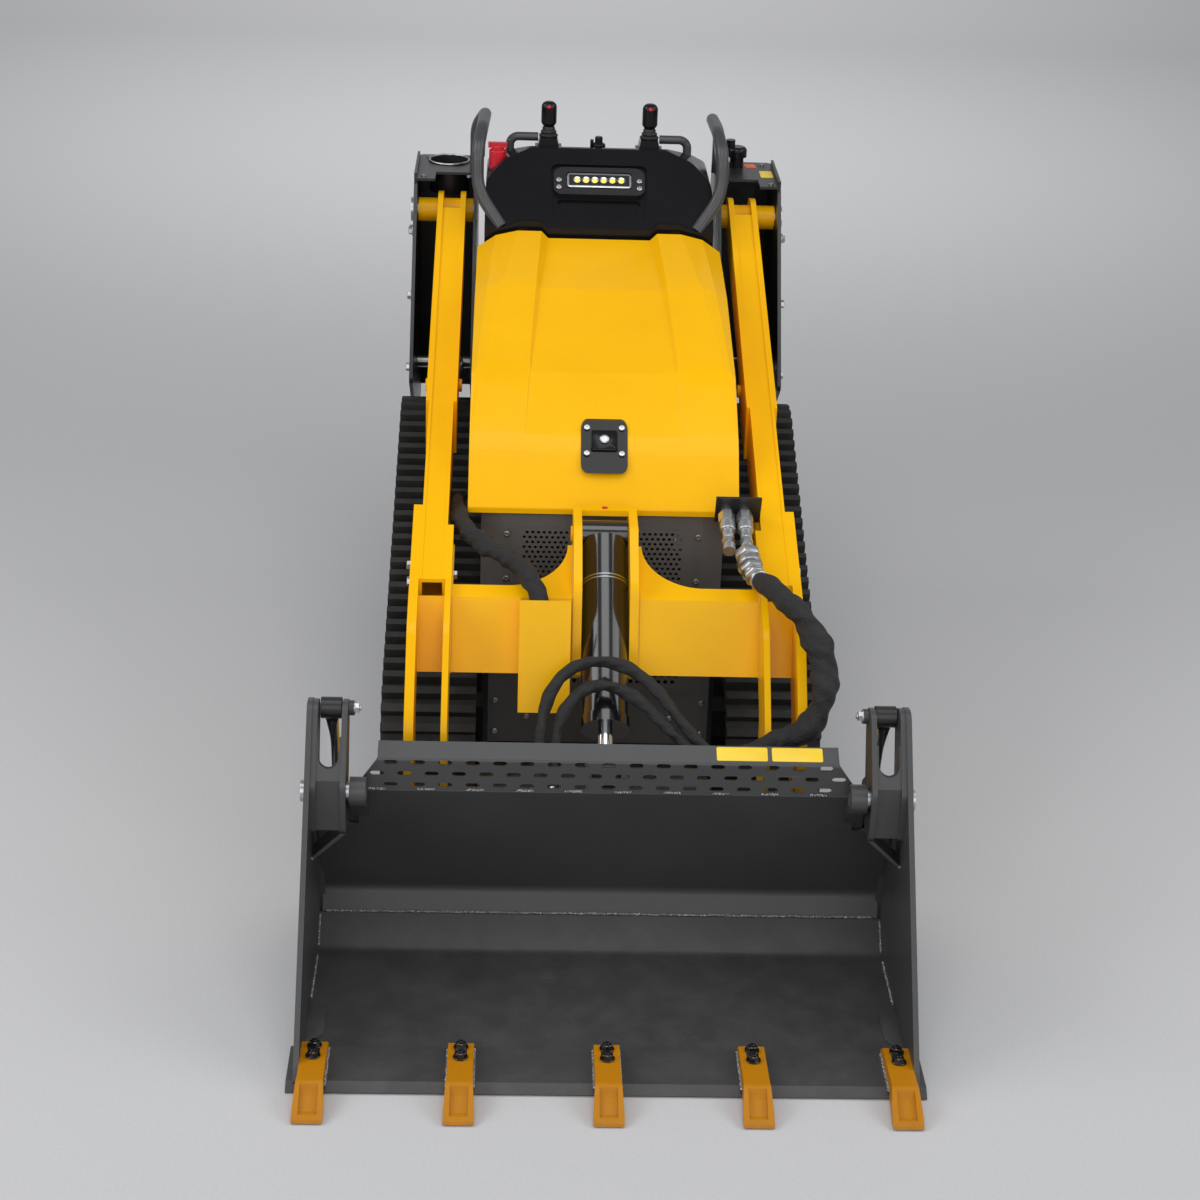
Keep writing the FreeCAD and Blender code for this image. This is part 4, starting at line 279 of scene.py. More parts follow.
def bead_finish(name, colour, spatter):
    """Painted weld: the paint with bright droplets."""
    bead = Finish(name, Base_Color=colour, Roughness=0.35, Coat_Weight=0.2)
    drops = bead.ramp(bead.noise(420.0, 3.0, 0.7), 0.52, 0.60)
    bead.feed("Base Color", bead.mix(drops * spatter, colour, (0.85, 0.85, 0.85)))
    bead.feed("Roughness", bead.noise(80.0) * 0.3 + 0.22)
    bead.bump(bead.noise(700.0, 3.0), 0.0008, 0.9)


def rubber_finish(name, colour):
    """Moulded rubber: matt, with pores and grey dust in its hollows."""
    rubber = Finish(name, Base_Color=colour, Roughness=0.72)
    dust = rubber.noise(22.0, 6.0, 0.65)
    tone = rubber.mix(rubber.ramp(dust, 0.45, 0.8), colour, scaled(colour, 2.3))
    rubber.feed("Base Color", rubber.low_dust(tone, DUST, 0.3))
    rubber.feed("Roughness", dust * 0.25 + 0.55)
    rubber.bump(rubber.noise(330.0, 4.0, 0.7), 0.0012, 0.6)


def metal_finish(name, colour, roughness, streak, metallic):
    """Bare or plated steel, with turned or brushed streaks and faint stains."""
    metal = Finish(name, Base_Color=colour, Metallic=metallic, Roughness=roughness)
    grain = metal.noise(150.0, 3.0, 0.6, stretch=streak)
    stain = metal.ramp(metal.noise(18.0, 4.0), 0.4, 0.75)
    metal.feed("Base Color", metal.mix(stain, colour, scaled(colour, 0.75)))
    metal.feed("Roughness", grain * 0.22 + (roughness - 0.1))
    metal.bump(grain, 0.0003, 0.35)


def rod_finish(name, eye, reach, black):
    """Chromed rod whose eye, within reach of its pin, is painted black."""
    rod = Finish(name, Base_Color=CHROME, Metallic=1.0, Roughness=0.14)
    y, z = (rod.node("SeparateXYZ", output=axis, Vector=rod.place()) for axis in (1, 2))
    painted = ((y - eye[0]) ** 2 + (z - eye[1]) ** 2) ** 0.5 < reach
    grain = rod.noise(150.0, 3.0, 0.6, stretch=(1, 1, 0.1))
    rod.feed("Base Color", rod.mix(painted, CHROME, black))
    rod.feed("Metallic", 1 - painted)
    rod.feed("Roughness", grain * 0.16 + painted * 0.2 + 0.06)
    rod.bump(grain, 0.0002, 0.3)


def moulded_finish(name, colour, roughness, grain, coat, specular):
    """Moulded plastic: a painted sheen of lighter patches in the base colour, faint wipe marks and a fine grain."""
    plastic = Finish(name, Base_Color=colour, Roughness=roughness, Coat_Weight=coat, Coat_Roughness=0.06,
                     Specular_IOR_Level=specular)
    sheen = plastic.noise(6.0, 3.0)
    # Painted sheen: the base colour turns lighter where this noise is high; the same noise also varies the gloss.
    tone = plastic.mix(plastic.ramp(sheen, 0.3, 0.8), colour, scaled(colour, 1.3))
    plastic.feed("Base Color", tone)
    plastic.feed("Roughness", sheen * 0.12 + plastic.noise(90.0, 3.0) * 0.08 + (roughness - 0.1))
    plastic.bump(plastic.noise(700.0, 2.0), 0.0004, grain)


def sleeve_finish(name, colour):
    """Woven hose sleeve: crossed threads and a soft sheen."""
    sleeve = Finish(name, Base_Color=colour, Roughness=0.8)
    where = sleeve.place()
    threads = []
    for turn in (0.7, -0.7):
        turned = sleeve.node("Mapping", Vector=where, Rotation=(turn, turn * 0.6, turn))
        threads.append(sleeve.node("TexWave", {"wave_type": "BANDS", "bands_direction": "X"}, Vector=turned,
                                   Scale=150.0, Distortion=1.5, Detail=1.0))
    weave = threads[0].most(threads[1])
    sleeve.feed("Base Color", sleeve.mix(weave * 0.7, colour, scaled(colour, 2.6)))
    sleeve.feed("Roughness", sleeve.noise(45.0, 4.0) * 0.3 + 0.5)
    crumple = sleeve.noise(55.0, 3.0, 0.6, stretch=(1.0, 1.0, 1.6))
    sleeve.bump(weave * 0.12 + crumple, 0.008, 0.8)


def vinyl_finish(name, colour):
    """Grained vinyl: leather-like cells and darker creases."""
    vinyl = Finish(name, Base_Color=colour, Roughness=0.55)
    cells = vinyl.node("TexVoronoi", Vector=vinyl.place(), Scale=420.0)
    wear = vinyl.noise(12.0, 5.0)
    vinyl.feed("Base Color", vinyl.mix(vinyl.ramp(wear, 0.4, 0.7), colour, scaled(colour, 1.6)))
    vinyl.feed("Roughness", wear * 0.2 + 0.42)
    vinyl.bump(cells, 0.0008, 0.6)


def glow_finish(name, colour, strength):
    """A lit diode: brighter at the middle of its grain."""
    glow = Finish(name, Base_Color=colour, Roughness=0.3, Emission_Strength=strength)
    glow.feed("Emission Color", glow.mix(glow.noise(240.0) * 0.6, colour, (1.0, 0.80, 0.22)))


class LOADER_OT_finishes(bpy.types.Operator):
    """Makes the finishes and gives every node of the machine its own."""

    bl_idname = "loader.finishes"
    bl_label = "Finishes"

    def execute(self, context):
        paint = context.scene.loader_paint
        yellow, black, grey = tuple(paint.yellow), tuple(paint.black), tuple(paint.grey)
        amber, panel = tuple(paint.amber), tuple(paint.panel)
        for name, colour, roughness, coat, texture, dust, specular in (
                ("machine_yellow", yellow, 0.30, 0.08, 0.2, 0.0, 0.12),
                ("frame_black", black, 0.36, 0.15, 0.8, 0.35, 0.5),
                ("panel_grey", panel, 0.45, 0.0, 0.9, 0.4, 0.5),
                ("tube_grey", (0.045, 0.046, 0.048), 0.34, 0.1, 0.4, 0.0, 0.5),
                ("cylinder_black", (0.009, 0.009, 0.010), 0.17, 0.65, 0.1, 0.0, 0.5),
                ("tooth_amber", amber, 0.42, 0.05, 1.2, 0.02, 0.2)):
            paint_finish(name, colour, roughness, coat, texture, dust, specular)
        for name, colour, roughness, grain, coat, specular in (
                ("moulded_black", (0.005, 0.005, 0.006), 0.20, 0.05, 0.12, 0.22),
                ("lamp_black", (0.010, 0.010, 0.011), 0.34, 0.3, 0.0, 0.5),
                ("red_plastic", (0.5, 0.008, 0.02), 0.33, 0.1, 0.0, 0.5),
                ("blank_yellow", (0.86, 0.56, 0.02), 0.36, 0.1, 0.0, 0.5),
                ("blank_orange", (0.80, 0.10, 0.01), 0.36, 0.1, 0.0, 0.5),
                ("hose_jacket", (0.006, 0.006, 0.007), 0.40, 0.3, 0.0, 0.5),
                ("dark_glass", (0.004, 0.005, 0.006), 0.14, 0.0, 1.0, 0.5)):
            moulded_finish(name, colour, roughness, grain, coat, specular)
        for name, colour, roughness, streak, metallic in (
                ("engine_iron", (0.09, 0.09, 0.09), 0.6, (1, 1, 1), 0.6),
                ("zinc_steel", (0.55, 0.56, 0.57), 0.32, (1, 1, 0.2), 1.0),
                ("chrome_rod", CHROME, 0.16, (1, 1, 0.1), 1.0)):
            metal_finish(name, colour, roughness, streak, metallic)
        for name, pin, reach in (
                ("tilt_rod_chrome", TILT_PIN, 0.036), ("lift_rod_chrome", LIFT_PIN, 0.036),
                ("clam_rod_chrome", CLAM_PIN, 0.027)):
            rod_finish(name, pin, reach, black)
        for name, colour, spatter in (
                ("weld_grey", scaled(grey, 1.6), 0.95), ("weld_yellow", scaled(yellow, 0.85), 0.08),
                ("weld_black", scaled(black, 1.6), 0.2)):
            bead_finish(name, colour, spatter)
        bucket_finish("bucket_grey", grey)
        rubber_finish("track_rubber", tuple(paint.rubber))
        vinyl_finish("pad_vinyl", (0.014, 0.014, 0.014))
        sleeve_finish("hose_black", (0.0065, 0.0065, 0.007))
        glow_finish("diode", (1.0, 0.60, 0.03), 1.05)
        slots = {part["node"]: part["material_slot"] for part in frame["record"]["subparts"]}
        for name, node in frame["nodes"].items():
            node.data.materials.clear()
            own = name.split("_")[0] + "_rod_chrome" if "_rod" in name else slots[name]
            node.data.materials.append(bpy.data.materials[own])
        return {"FINISHED"}


# ------------------------------------------------------------------ modelling steps


# Tests for pick.

def anything(middle, way):
    return True


def upward(middle, way):
    return way.z > 0.9


def upright(middle, way):
    return abs(way.z) > 0.5


def deselect_all():
    bpy.ops.object.select_all(action="DESELECT")


def activate(piece):
    deselect_all()
    piece.select_set(True)
    bpy.context.view_layer.objects.active = piece


def begin(shape, name, **sizes):
    """Adds a primitive, names it and puts its place into its mesh."""
    deselect_all()
    getattr(bpy.ops.mesh, "primitive_{}_add".format(shape))(**sizes)
    piece = bpy.context.object
    piece.name = name
    bpy.ops.object.transform_apply(location=True)
    return piece


def pick(piece, test, kind="FACE"):
    """Enters edit mode with the faces or edges selected whose middle and direction pass the test."""
    if bpy.context.mode != "OBJECT":
        bpy.ops.object.mode_set(mode="OBJECT")
    activate(piece)
    mesh = piece.data
    for group in (mesh.vertices, mesh.edges, mesh.polygons):
        for part in group:
            part.select = False
    bpy.context.tool_settings.mesh_select_mode = (False, kind == "EDGE", kind == "FACE")
    if kind == "FACE":
        for face in mesh.polygons:
            face.select = bool(test(face.center, face.normal))
    else:
        for edge in mesh.edges:
            ends = [mesh.vertices[i].co for i in edge.vertices]
            edge.select = bool(test((ends[0] + ends[1]) / 2, (ends[1] - ends[0]).normalized()))
    bpy.ops.object.mode_set(mode="EDIT")


def leave():
    bpy.ops.object.mode_set(mode="OBJECT")


def nudge(x=0.0, y=0.0, z=0.0):
    bpy.ops.transform.translate(value=(x, y, z))


def block(name, *size):
    """A cube brought to its size in edit mode."""
    piece = begin("cube", name, size=1)
    pick(piece, anything)
    bpy.ops.transform.resize(value=size)
    leave()
    return piece


def stepped(piece, *steps):
    """Insets the top face step by step, each with its width, outwards below zero, and its rise."""
    pick(piece, upward)
    for width, rise in steps:
        bpy.ops.mesh.inset(thickness=abs(width), depth=rise, use_outset=width < 0)
    leave()


def softened(piece, test, radius, segments=2):
    """Rounds the edges that pass the test."""
    pick(piece, test, "EDGE")
    bpy.ops.mesh.bevel(offset=radius, segments=segments)
    leave()


def ribbed(piece, cuts, swell, x=0.0, y=0.0):
    """Cuts a tube into rings and swells every other one about its axis."""
    pick(piece, upright, "EDGE")
    bpy.ops.mesh.subdivide(number_cuts=cuts)
    leave()
    levels = sorted({round(vertex.co.z, 5) for vertex in piece.data.vertices})
    for vertex in piece.data.vertices:
        if levels.index(round(vertex.co.z, 5)) % 2:
            vertex.co.x = x + (vertex.co.x - x) * swell
            vertex.co.y = y + (vertex.co.y - y) * swell


def stand(piece, place, ahead=None, turn=Quaternion()):
    """Moves a piece to its place, with its Z along a direction."""
    aim = Vector(ahead).to_track_quat("Z", "Y") @ turn if ahead is not None else None
    piece.matrix_world = Matrix.LocRotScale(Vector(place), aim, None)
    bpy.context.view_layer.update()


def finish_with(piece, kind, **settings):
    """Adds a modifier and applies it."""
    activate(piece)
    modifier = piece.modifiers.new(kind.title(), kind)
    for name, value in settings.items():
        setattr(modifier, name, value)
    bpy.ops.object.modifier_apply(modifier=modifier.name)


def settle(piece, body, finish, smooth=35):
    """Puts a piece's place into its mesh, smooths it, and names its body and finish."""
    activate(piece)
    bpy.ops.object.transform_apply(location=True, rotation=True, scale=True)
    bpy.ops.object.shade_smooth_by_angle(angle=math.radians(smooth))
    piece.data.materials.clear()
    piece.data.materials.append(bpy.data.materials[finish])
    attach(piece, body)
    return piece


def merged(pieces, name):
    """Joins pieces into one."""
    bpy.context.view_layer.update()
    activate(pieces[0])
    for piece in pieces:
        piece.select_set(True)
    if len(pieces) > 1:
        bpy.ops.object.join()
    pieces[0].name = name
    return pieces[0]


def copied(master, name, places):
    """Copies a master to each (place, direction of its Z, turn about it), and joins the copies."""
    twins = []
    for place, ahead, turn in places:
        twin = master.copy()
        twin.data = master.data.copy()
        aim = Vector(ahead).to_track_quat("Z", "Y") @ Quaternion((0, 0, 1), turn)
        twin.matrix_world = Matrix.LocRotScale(Vector(place), aim, None)
        bpy.context.scene.collection.objects.link(twin)
        twins.append(twin)
    return merged(twins, name)


def drop(master):
    bpy.data.objects.remove(master)


def both(places):
    """The places and their mirror images across x = 0."""
    twins = list(places)
    for (x, y, z), (u, v, w), turn in places:
        twins.append(((-x, y, z), (-u, v, w), turn))
    return twins


def at(points, ahead, turn=0.0):
    return [(point, ahead, turn + 0.37 * index) for index, point in enumerate(points)]


# ------------------------------------------------------------------ fasteners

def bolt_master(radius):
    """Hexagon head with a chamfered crown on a washer."""
    washer = 0.0022
    bolt = begin("cylinder", "bolt", vertices=6, radius=radius, depth=radius * 0.75,
                 location=(0, 0, washer + radius * 0.375))
    pick(bolt, upward)
    bpy.ops.mesh.inset(thickness=radius * 0.16, depth=radius * 0.10)
    bpy.ops.mesh.inset(thickness=radius * 0.30, depth=0)
    nudge(z=-radius * 0.08)
    bpy.ops.mesh.select_all(action="DESELECT")
    bpy.ops.mesh.primitive_cylinder_add(vertices=20, radius=radius * 1.42, depth=washer,
                                        location=(0, 0, washer / 2))
    bpy.ops.mesh.bevel(offset=washer * 0.3, segments=1)
    leave()
    return bolt


def screw_master(radius):
    """Low round head with a hexagon socket."""
    screw = begin("cylinder", "screw", vertices=18, radius=radius, depth=radius * 0.5,
                  location=(0, 0, radius * 0.25))
    pick(screw, upward)
    bpy.ops.mesh.inset(thickness=radius * 0.22, depth=radius * 0.16)
    bpy.ops.mesh.inset(thickness=radius * 0.30, depth=0)
    bpy.ops.mesh.extrude_region_move(TRANSFORM_OT_translate={"value": (0, 0, -radius * 0.34)})
    leave()
    return screw


def nut_master(radius):
    """Hexagon nut over a stub of thread."""
    nut = bolt_master(radius)
    pick(nut, lambda middle, way: False)
    bpy.ops.mesh.primitive_cylinder_add(vertices=14, radius=radius * 0.52, depth=radius * 0.7,
                                        location=(0, 0, radius * 1.05))
    bpy.ops.mesh.bevel(offset=radius * 0.08, segments=1)
    leave()
    return nut


def nipple_master():
    """Grease nipple: a hexagon foot, a waist and a ball."""
    nipple = begin("cylinder", "nipple", vertices=6, radius=0.0045, depth=0.003, location=(0, 0, 0.0015))
    stepped(nipple, (0.0012, 0.001), (0.0008, 0.004), (-0.0012, 0.0014), (0.0004, 0.0014), (0.0012, 0.0008))
    return nipple


def tooth_middles():
    """Middles of the teeth across the edge."""
    half_tooth = 0.027
    low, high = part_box("bucket_teeth")
    half = (high[0] - low[0]) / 2 - half_tooth
    return [half * share for share in (-1, -0.5, 0, 0.5, 1)]


class LOADER_OT_fasteners(bpy.types.Operator):
    """Bolts, nuts, screws and grease nipples on every body."""

    bl_idname = "loader.fasteners"
    bl_label = "Fasteners"

    def execute(self, context):
        sizes = context.scene.loader_parts
        bolt, nut = bolt_master(sizes.bolt), nut_master(sizes.bolt)
        screw, nipple = screw_master(sizes.screw), nipple_master()
        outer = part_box("tower_right")[1][0]
        keepers = both(at([(outer, 0.835, 0.975), (outer, 0.812, 0.612)], RIGHT))
        seams = both(at([(outer, 1.045, height) for height in (0.56, 0.69, 0.82, 0.95)]
                        + [(outer, 0.640, 0.700), (outer, 0.712, 0.850), (outer, 0.785, 0.985)], RIGHT))
        turns = [math.radians(40 * step) for step in range(9)]
        hub_y, hub_z, circle = 0.465, 0.500, 0.047
        hub = [(0.377, hub_y + circle * math.sin(turn), hub_z + circle * math.cos(turn)) for turn in turns]
        frames = [(0.388, y, z) for y, z in (
            (-0.14, 0.215), (0.02, 0.225), (0.20, 0.235), (0.40, 0.225), (0.58, 0.205),
            (0.10, 0.13), (0.33, 0.13), (0.54, 0.13))]
        decks = at([(x, y, DECK_TOP) for x, y in (
            (0.302, 0.862), (0.408, 0.862), (0.402, 1.040), (0.300, 1.050))], TOP)
        lamp = at([(0.093, 0.768, 1.118), (0.093, 0.7515, 1.1055)], LAMP_AHEAD)
        grille = at([(0.197, -0.135, 0.615), (0.197, -0.135, 0.515)], FRONT)
        lower = at([(0.150, -0.205, 0.231), (0.216, -0.205, 0.267), (0.216, -0.205, 0.195)], FRONT)
        rear = at([(0.205, 0.935, height) for height in (0.24, 0.52, 0.80)], REAR)
        step = at([(0.225, 1.02, PLATFORM_TOP), (0.185, 1.02, PLATFORM_TOP)], TOP)
        tip_y, tip_z, fall = 1.22, 0.0445, 0.06
        teeth = [(x, y, tip_z - (y + tip_y) * fall) for x in tooth_middles() for y in (-1.146, -1.114)]
        levers = both(at([(0.543, *CLAM_PIN)], RIGHT) + at([(0.470, *CLAM_PIN)], LEFT)
                      + at([(0.5505, -0.830, 0.396)], RIGHT))
        grease = both(at([(0.505, -0.812, 0.4155)], (0, 0.2, 1)))
        arms = at([(0.385, -0.27, 0.600), (0.385, -0.27, 0.565)], RIGHT) + at([(0.303, -0.315, 0.600)], LEFT)
        bracket = at([(0.064, -0.265, 0.600), (0.064, -0.235, 0.600)], RIGHT)
        along, lifted = Vector((0, 0.76, 0.65)), LATCH + Vector(LATCH_AHEAD) * 0.0015
        latch = [lifted + Vector((x, 0, 0)) + along * rise for x in (-0.036, 0.036) for rise in (-0.030, 0.030)]
        for master, name, body, finish, places in (
                (bolt, "bolts_towers", "chassis", "zinc_steel", keepers + seams),
                (bolt, "bolts_running_gear", "chassis", "frame_black", both(at(hub + frames, RIGHT))),
                (screw, "screws_chassis", "chassis", "zinc_steel", both(decks + lamp + grille + lower + rear)),
                (bolt, "bolts_platform", "chassis", "zinc_steel", both(step)),
                (nut, "nuts_teeth", "clam", "cylinder_black", at(teeth, (0, fall, 1))),
                (nut, "nuts_levers", "clam", "zinc_steel", levers),
                (nipple, "nipples_levers", "clam", "zinc_steel", grease),
                (bolt, "bolts_boom", "boom", "zinc_steel", both(arms + bracket)),
                (screw, "screws_latch", "hood", "zinc_steel", at(latch, LATCH_AHEAD))):
            settle(copied(master, name, places), body, finish)
        for master in (bolt, nut, screw, nipple):
            drop(master)
        return {"FINISHED"}


# ------------------------------------------------------------------ welds

def weld(name, body, finish, runs, size):
    """Lays overlapping ripples along straight runs."""
    ripple = begin("uv_sphere", "ripple", segments=7, ring_count=4, radius=size)
    pick(ripple, anything)
    bpy.ops.transform.resize(value=(0.75, 1.0, 0.85))
    leave()
    beads = []
    for start, end in runs:
        start, end = Vector(start), Vector(end)
        bead = ripple.copy()
        bead.data = ripple.data.copy()
        bpy.context.scene.collection.objects.link(bead)
        finish_with(bead, "ARRAY", use_relative_offset=False, use_constant_offset=True,
                    constant_offset_displace=(size, 0, 0), count=max(2, int((end - start).length / size)))
        bead.matrix_world = Matrix.LocRotScale(start, (end - start).to_track_quat("X", "Z"), None)
        beads.append(bead)
    drop(ripple)
    return settle(merged(beads, name), body, finish, smooth=60)


def both_runs(runs):
    """The runs and their mirror images across x = 0."""
    return runs + [tuple((-x, y, z) for x, y, z in run) for run in runs]


class LOADER_OT_welds(bpy.types.Operator):
    """Weld beads along the bucket's, the boom's and the frame's seams."""

    bl_idname = "loader.welds"
    bl_label = "Welds"

    def execute(self, context):
        size = context.scene.loader_parts.bead
        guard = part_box("spill_guard")[0]
        y, z = guard[1] - 0.0005, guard[2] + 0.001
        pitch, length = 0.0905, 0.034
        starts = [-0.44 + pitch * index for index in range(10)]
        stitches = [((x, y, z), (x + length, y, z)) for x in starts]
        ears = both_runs([((0.0295, -0.776, 0.338), (0.0295, -0.712, 0.195))])
        weld("welds_bucket", "bucket", "weld_grey", stitches + ears, size)
        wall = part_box("clam_shell")[1][0] - SIDE_PLATE
        clam = [((-0.54, -1.0845, 0.010), (0.54, -1.0845, 0.010)), ((-0.53, -0.7005, 0.060), (0.53, -0.7005, 0.060))]
        sides = both_runs([((wall, -1.08, 0.0085), (wall, -0.775, 0.0085)),
                           ((wall, -0.750, 0.0145), (wall, -0.7035, 0.057)),
                           ((wall, -1.19, 0.0165), (wall, -1.09, 0.0165))])
        sides += [((x + side, -1.200, 0.017), (x + side, -1.085, 0.017))
                  for x in tooth_middles() for side in (-0.0235, 0.0235)]
        levers = both_runs([((wall + 0.0095, -0.852, 0.322), (wall + 0.0095, -0.808, 0.263)),
                            ((wall - 0.0005, -0.856, 0.268), (wall - 0.0005, -0.804, 0.268))])
        weld("welds_clam", "clam", "weld_grey", clam + sides + levers, size)
        beam = []
        for x in (0.0645, 0.3025):
            beam += [((x, -0.4655, 0.4605), (x, -0.4055, 0.5955)), ((x, -0.405, 0.595), (x, -0.252, 0.6415))]
        weld("welds_boom", "boom", "weld_yellow", both_runs(beam), size)
        tie = [((x, 0.878, 0.53), (x, 0.878, 0.85)) for x in (0.2405, 0.2815)]
        weld("welds_frame", "chassis", "weld_black", both_runs(tie), size)
        return {"FINISHED"}


# ------------------------------------------------------------------ plates, wear parts and seals

def tile(name, width, height, thick, corner, place, ahead, spin=0.0):
    """A thin plate with rounded corners and a soft rim, lying on a surface."""
    plate = block(name, width, height, thick)
    softened(plate, lambda middle, way: abs(way.z) > 0.9, corner, segments=4)
    pick(plate, upward)
    bpy.ops.mesh.inset(thickness=min(width, height) * 0.04)
    nudge(z=thick * 0.25)
    leave()
    ahead = Vector(ahead)
    stand(plate, Vector(place) + ahead * thick / 2, ahead, Quaternion((0, 0, 1), spin))
    return plate


class LOADER_OT_plates(bpy.types.Operator):
    """Blank plates and patches where the machine carries notices."""

    bl_idname = "loader.plates"
    bl_label = "Blank plates"

    def execute(self, context):
        thick, corner = 0.0008, 0.003
        for name, width, height, place, ahead, spin, body, finish in (
                ("blank_plate_1", 0.094, 0.030, (0.245, -0.782, 0.4595), LIP_AHEAD, 0.0, "bucket", "blank_yellow"),
                ("blank_plate_2", 0.094, 0.030, (0.347, -0.782, 0.4595), LIP_AHEAD, 0.0, "bucket", "blank_yellow"),
                ("blank_patch", 0.026, 0.034, (0.372, 1.030, DECK_TOP), TOP, 0.1, "chassis", "blank_orange"),
                ("blank_tab", 0.030, 0.060, (0.405, 0.955, DECK_TOP), TOP, 0.0, "chassis", "blank_yellow")):
            settle(tile(name, width, height, thick, corner, place, ahead, spin), body, finish)
        rim = begin("torus", "cup_rim", major_segments=48, minor_segments=10, major_radius=0.0475,
                    minor_radius=0.0022, location=(-0.353, 1.013, 1.0962))
        pick(rim, lambda middle, way: way.z > 0.8)
        nudge(z=0.0006)
        leave()
        settle(rim, "chassis", "zinc_steel", smooth=70)
        dot = tile("port_dot", width=0.012, height=0.012, thick=0.0010, corner=0.0055,
                   place=(0, -0.197, 0.702), ahead=TOP)
        settle(dot, "boom", "red_plastic")
        return {"FINISHED"}


class LOADER_OT_wear_parts(bpy.types.Operator):
    """Corner gussets of the bucket, and the strips and plates that close its sides."""

    bl_idname = "loader.wear_parts"
    bl_label = "Wear parts"

    def execute(self, context):
        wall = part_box("clam_shell")[1][0] - SIDE_PLATE
        gussets = []
        for side in (1, -1):
            gusset = block("gusset", 0.034, 0.150, 0.010)
            pick(gusset, lambda middle, way: way.x * side < -0.9)
            bpy.ops.transform.resize(value=(1, 0.5, 1))
            leave()
            softened(gusset, lambda middle, way: abs(way.z) < 0.5 and middle.z > 0, 0.002)
            stand(gusset, (side * (wall - 0.0165), -1.005, 0.0125))
            gussets.append(gusset)
        settle(merged(gussets, "corner_gussets"), "clam", "bucket_grey")

        top, knee, foot = (-0.7626, 0.330), (-0.6830, 0.106), (-0.6890, 0.048)
        thick, strip_x, notch_x = 0.004, 0.5425, 0.4675
        strips = []
        for side in (1, -1):
            strip = begin("plane", "strip", size=1)
            pick(strip, anything)
            bpy.ops.transform.resize(value=(0.018, 1, 1))
            leave()
            for vertex in strip.data.vertices:
                y, z = top if vertex.co.y > 0 else knee
                vertex.co = (side * strip_x + vertex.co.x, y, z)
            pick(strip, lambda middle, way: abs(way.x) > 0.9 and middle.z < 0.2, "EDGE")
            bpy.ops.mesh.extrude_region_move(
                TRANSFORM_OT_translate={"value": (0, foot[0] - knee[0], foot[1] - knee[1])})
            bpy.ops.mesh.select_all(action="SELECT")
            bpy.ops.mesh.normals_make_consistent(inside=False)
            leave()
            finish_with(strip, "SOLIDIFY", thickness=thick, offset=0)
            strips.append(strip)
        crest_y, crest_z, lean = -0.7941, 0.385, 0.4432
        for side in (1, -1):
            plate = begin("plane", "plate", size=1)
            for vertex in plate.data.vertices:
                level = 0.345 if vertex.co.y > 0 else 0.284
                vertex.co = (side * notch_x + vertex.co.x * 0.029, crest_y + (crest_z - level) * lean, level)
            pick(plate, anything)
            bpy.ops.mesh.normals_make_consistent(inside=False)
            leave()
            finish_with(plate, "SOLIDIFY", thickness=thick, offset=0)
            strips.append(plate)
        settle(merged(strips, "side_strips"), "bucket", "bucket_grey")
        return {"FINISHED"}


# ------------------------------------------------------------------ lamp and latch

class LOADER_OT_lamp(bpy.types.Operator):
    """The work lamp's reflectors, diodes and glazed frame."""

    bl_idname = "loader.lamp"
    bl_label = "Work lamp"

    def execute(self, context):
        count = context.scene.loader_parts.diodes
        ahead = Vector(LAMP_AHEAD)
        middle = LAMP + ahead * 0.0005
        cup = begin("cylinder", "cup", vertices=10, radius=0.0096, depth=0.003, location=(0, 0, 0.0015))
        stepped(cup, (0.0012, 0), (0.0030, -0.0024))
        diode = begin("uv_sphere", "lens", segments=10, ring_count=6, radius=0.0062)
        pick(diode, anything)
        bpy.ops.transform.resize(value=(1, 1, 0.55))
        nudge(z=0.0012)
        leave()
        pitch = 0.122 / count
        places = [(middle + Vector((pitch * (i - (count - 1) / 2), 0, 0)), ahead, 0.0) for i in range(count)]
        settle(copied(cup, "lamp_cups", places), "chassis", "chrome_rod", smooth=50)
        settle(copied(diode, "lamp_diodes", places), "chassis", "diode", smooth=60)
        drop(cup)
        drop(diode)
        rim = tile("lamp_rim", width=0.148, height=0.040, thick=0.0024, corner=0.007,
                   place=middle - ahead * 0.0006, ahead=ahead)
        window = block("window", 0.139, 0.031, 0.02)
        window.matrix_world = rim.matrix_world
        bpy.context.view_layer.update()
        finish_with(rim, "BOOLEAN", object=window, operation="DIFFERENCE", solver="EXACT")
        drop(window)
        settle(rim, "chassis", "zinc_steel")
        return {"FINISHED"}


class LOADER_OT_latch(bpy.types.Operator):
    """The cover's lock: a raised rim, a paddle and a keyed barrel."""

    bl_idname = "loader.latch"
    bl_label = "Cover latch"

    def execute(self, context):
        ahead = Vector(LATCH_AHEAD).normalized()
        middle = LATCH + ahead * 0.001
        paddle = tile("latch_paddle", width=0.056, height=0.046, thick=0.004, corner=0.006, place=middle, ahead=ahead)
        settle(paddle, "hood", "moulded_black")
        lock = begin("cylinder", "latch_lock", vertices=28, radius=0.0095, depth=0.006, location=(0, 0, 0.003))
        stepped(lock, (0.0016, 0.0008), (0.0012, -0.0012))
        slot = block("key_way", 0.0016, 0.0085, 0.004)
        pick(slot, anything)
        nudge(z=0.0055)
        leave()
        finish_with(lock, "BOOLEAN", object=slot, operation="DIFFERENCE", solver="EXACT")
        drop(slot)
        stand(lock, middle + ahead * 0.004, ahead)
        settle(lock, "hood", "zinc_steel")
        return {"FINISHED"}


# ------------------------------------------------------------------ operator's station

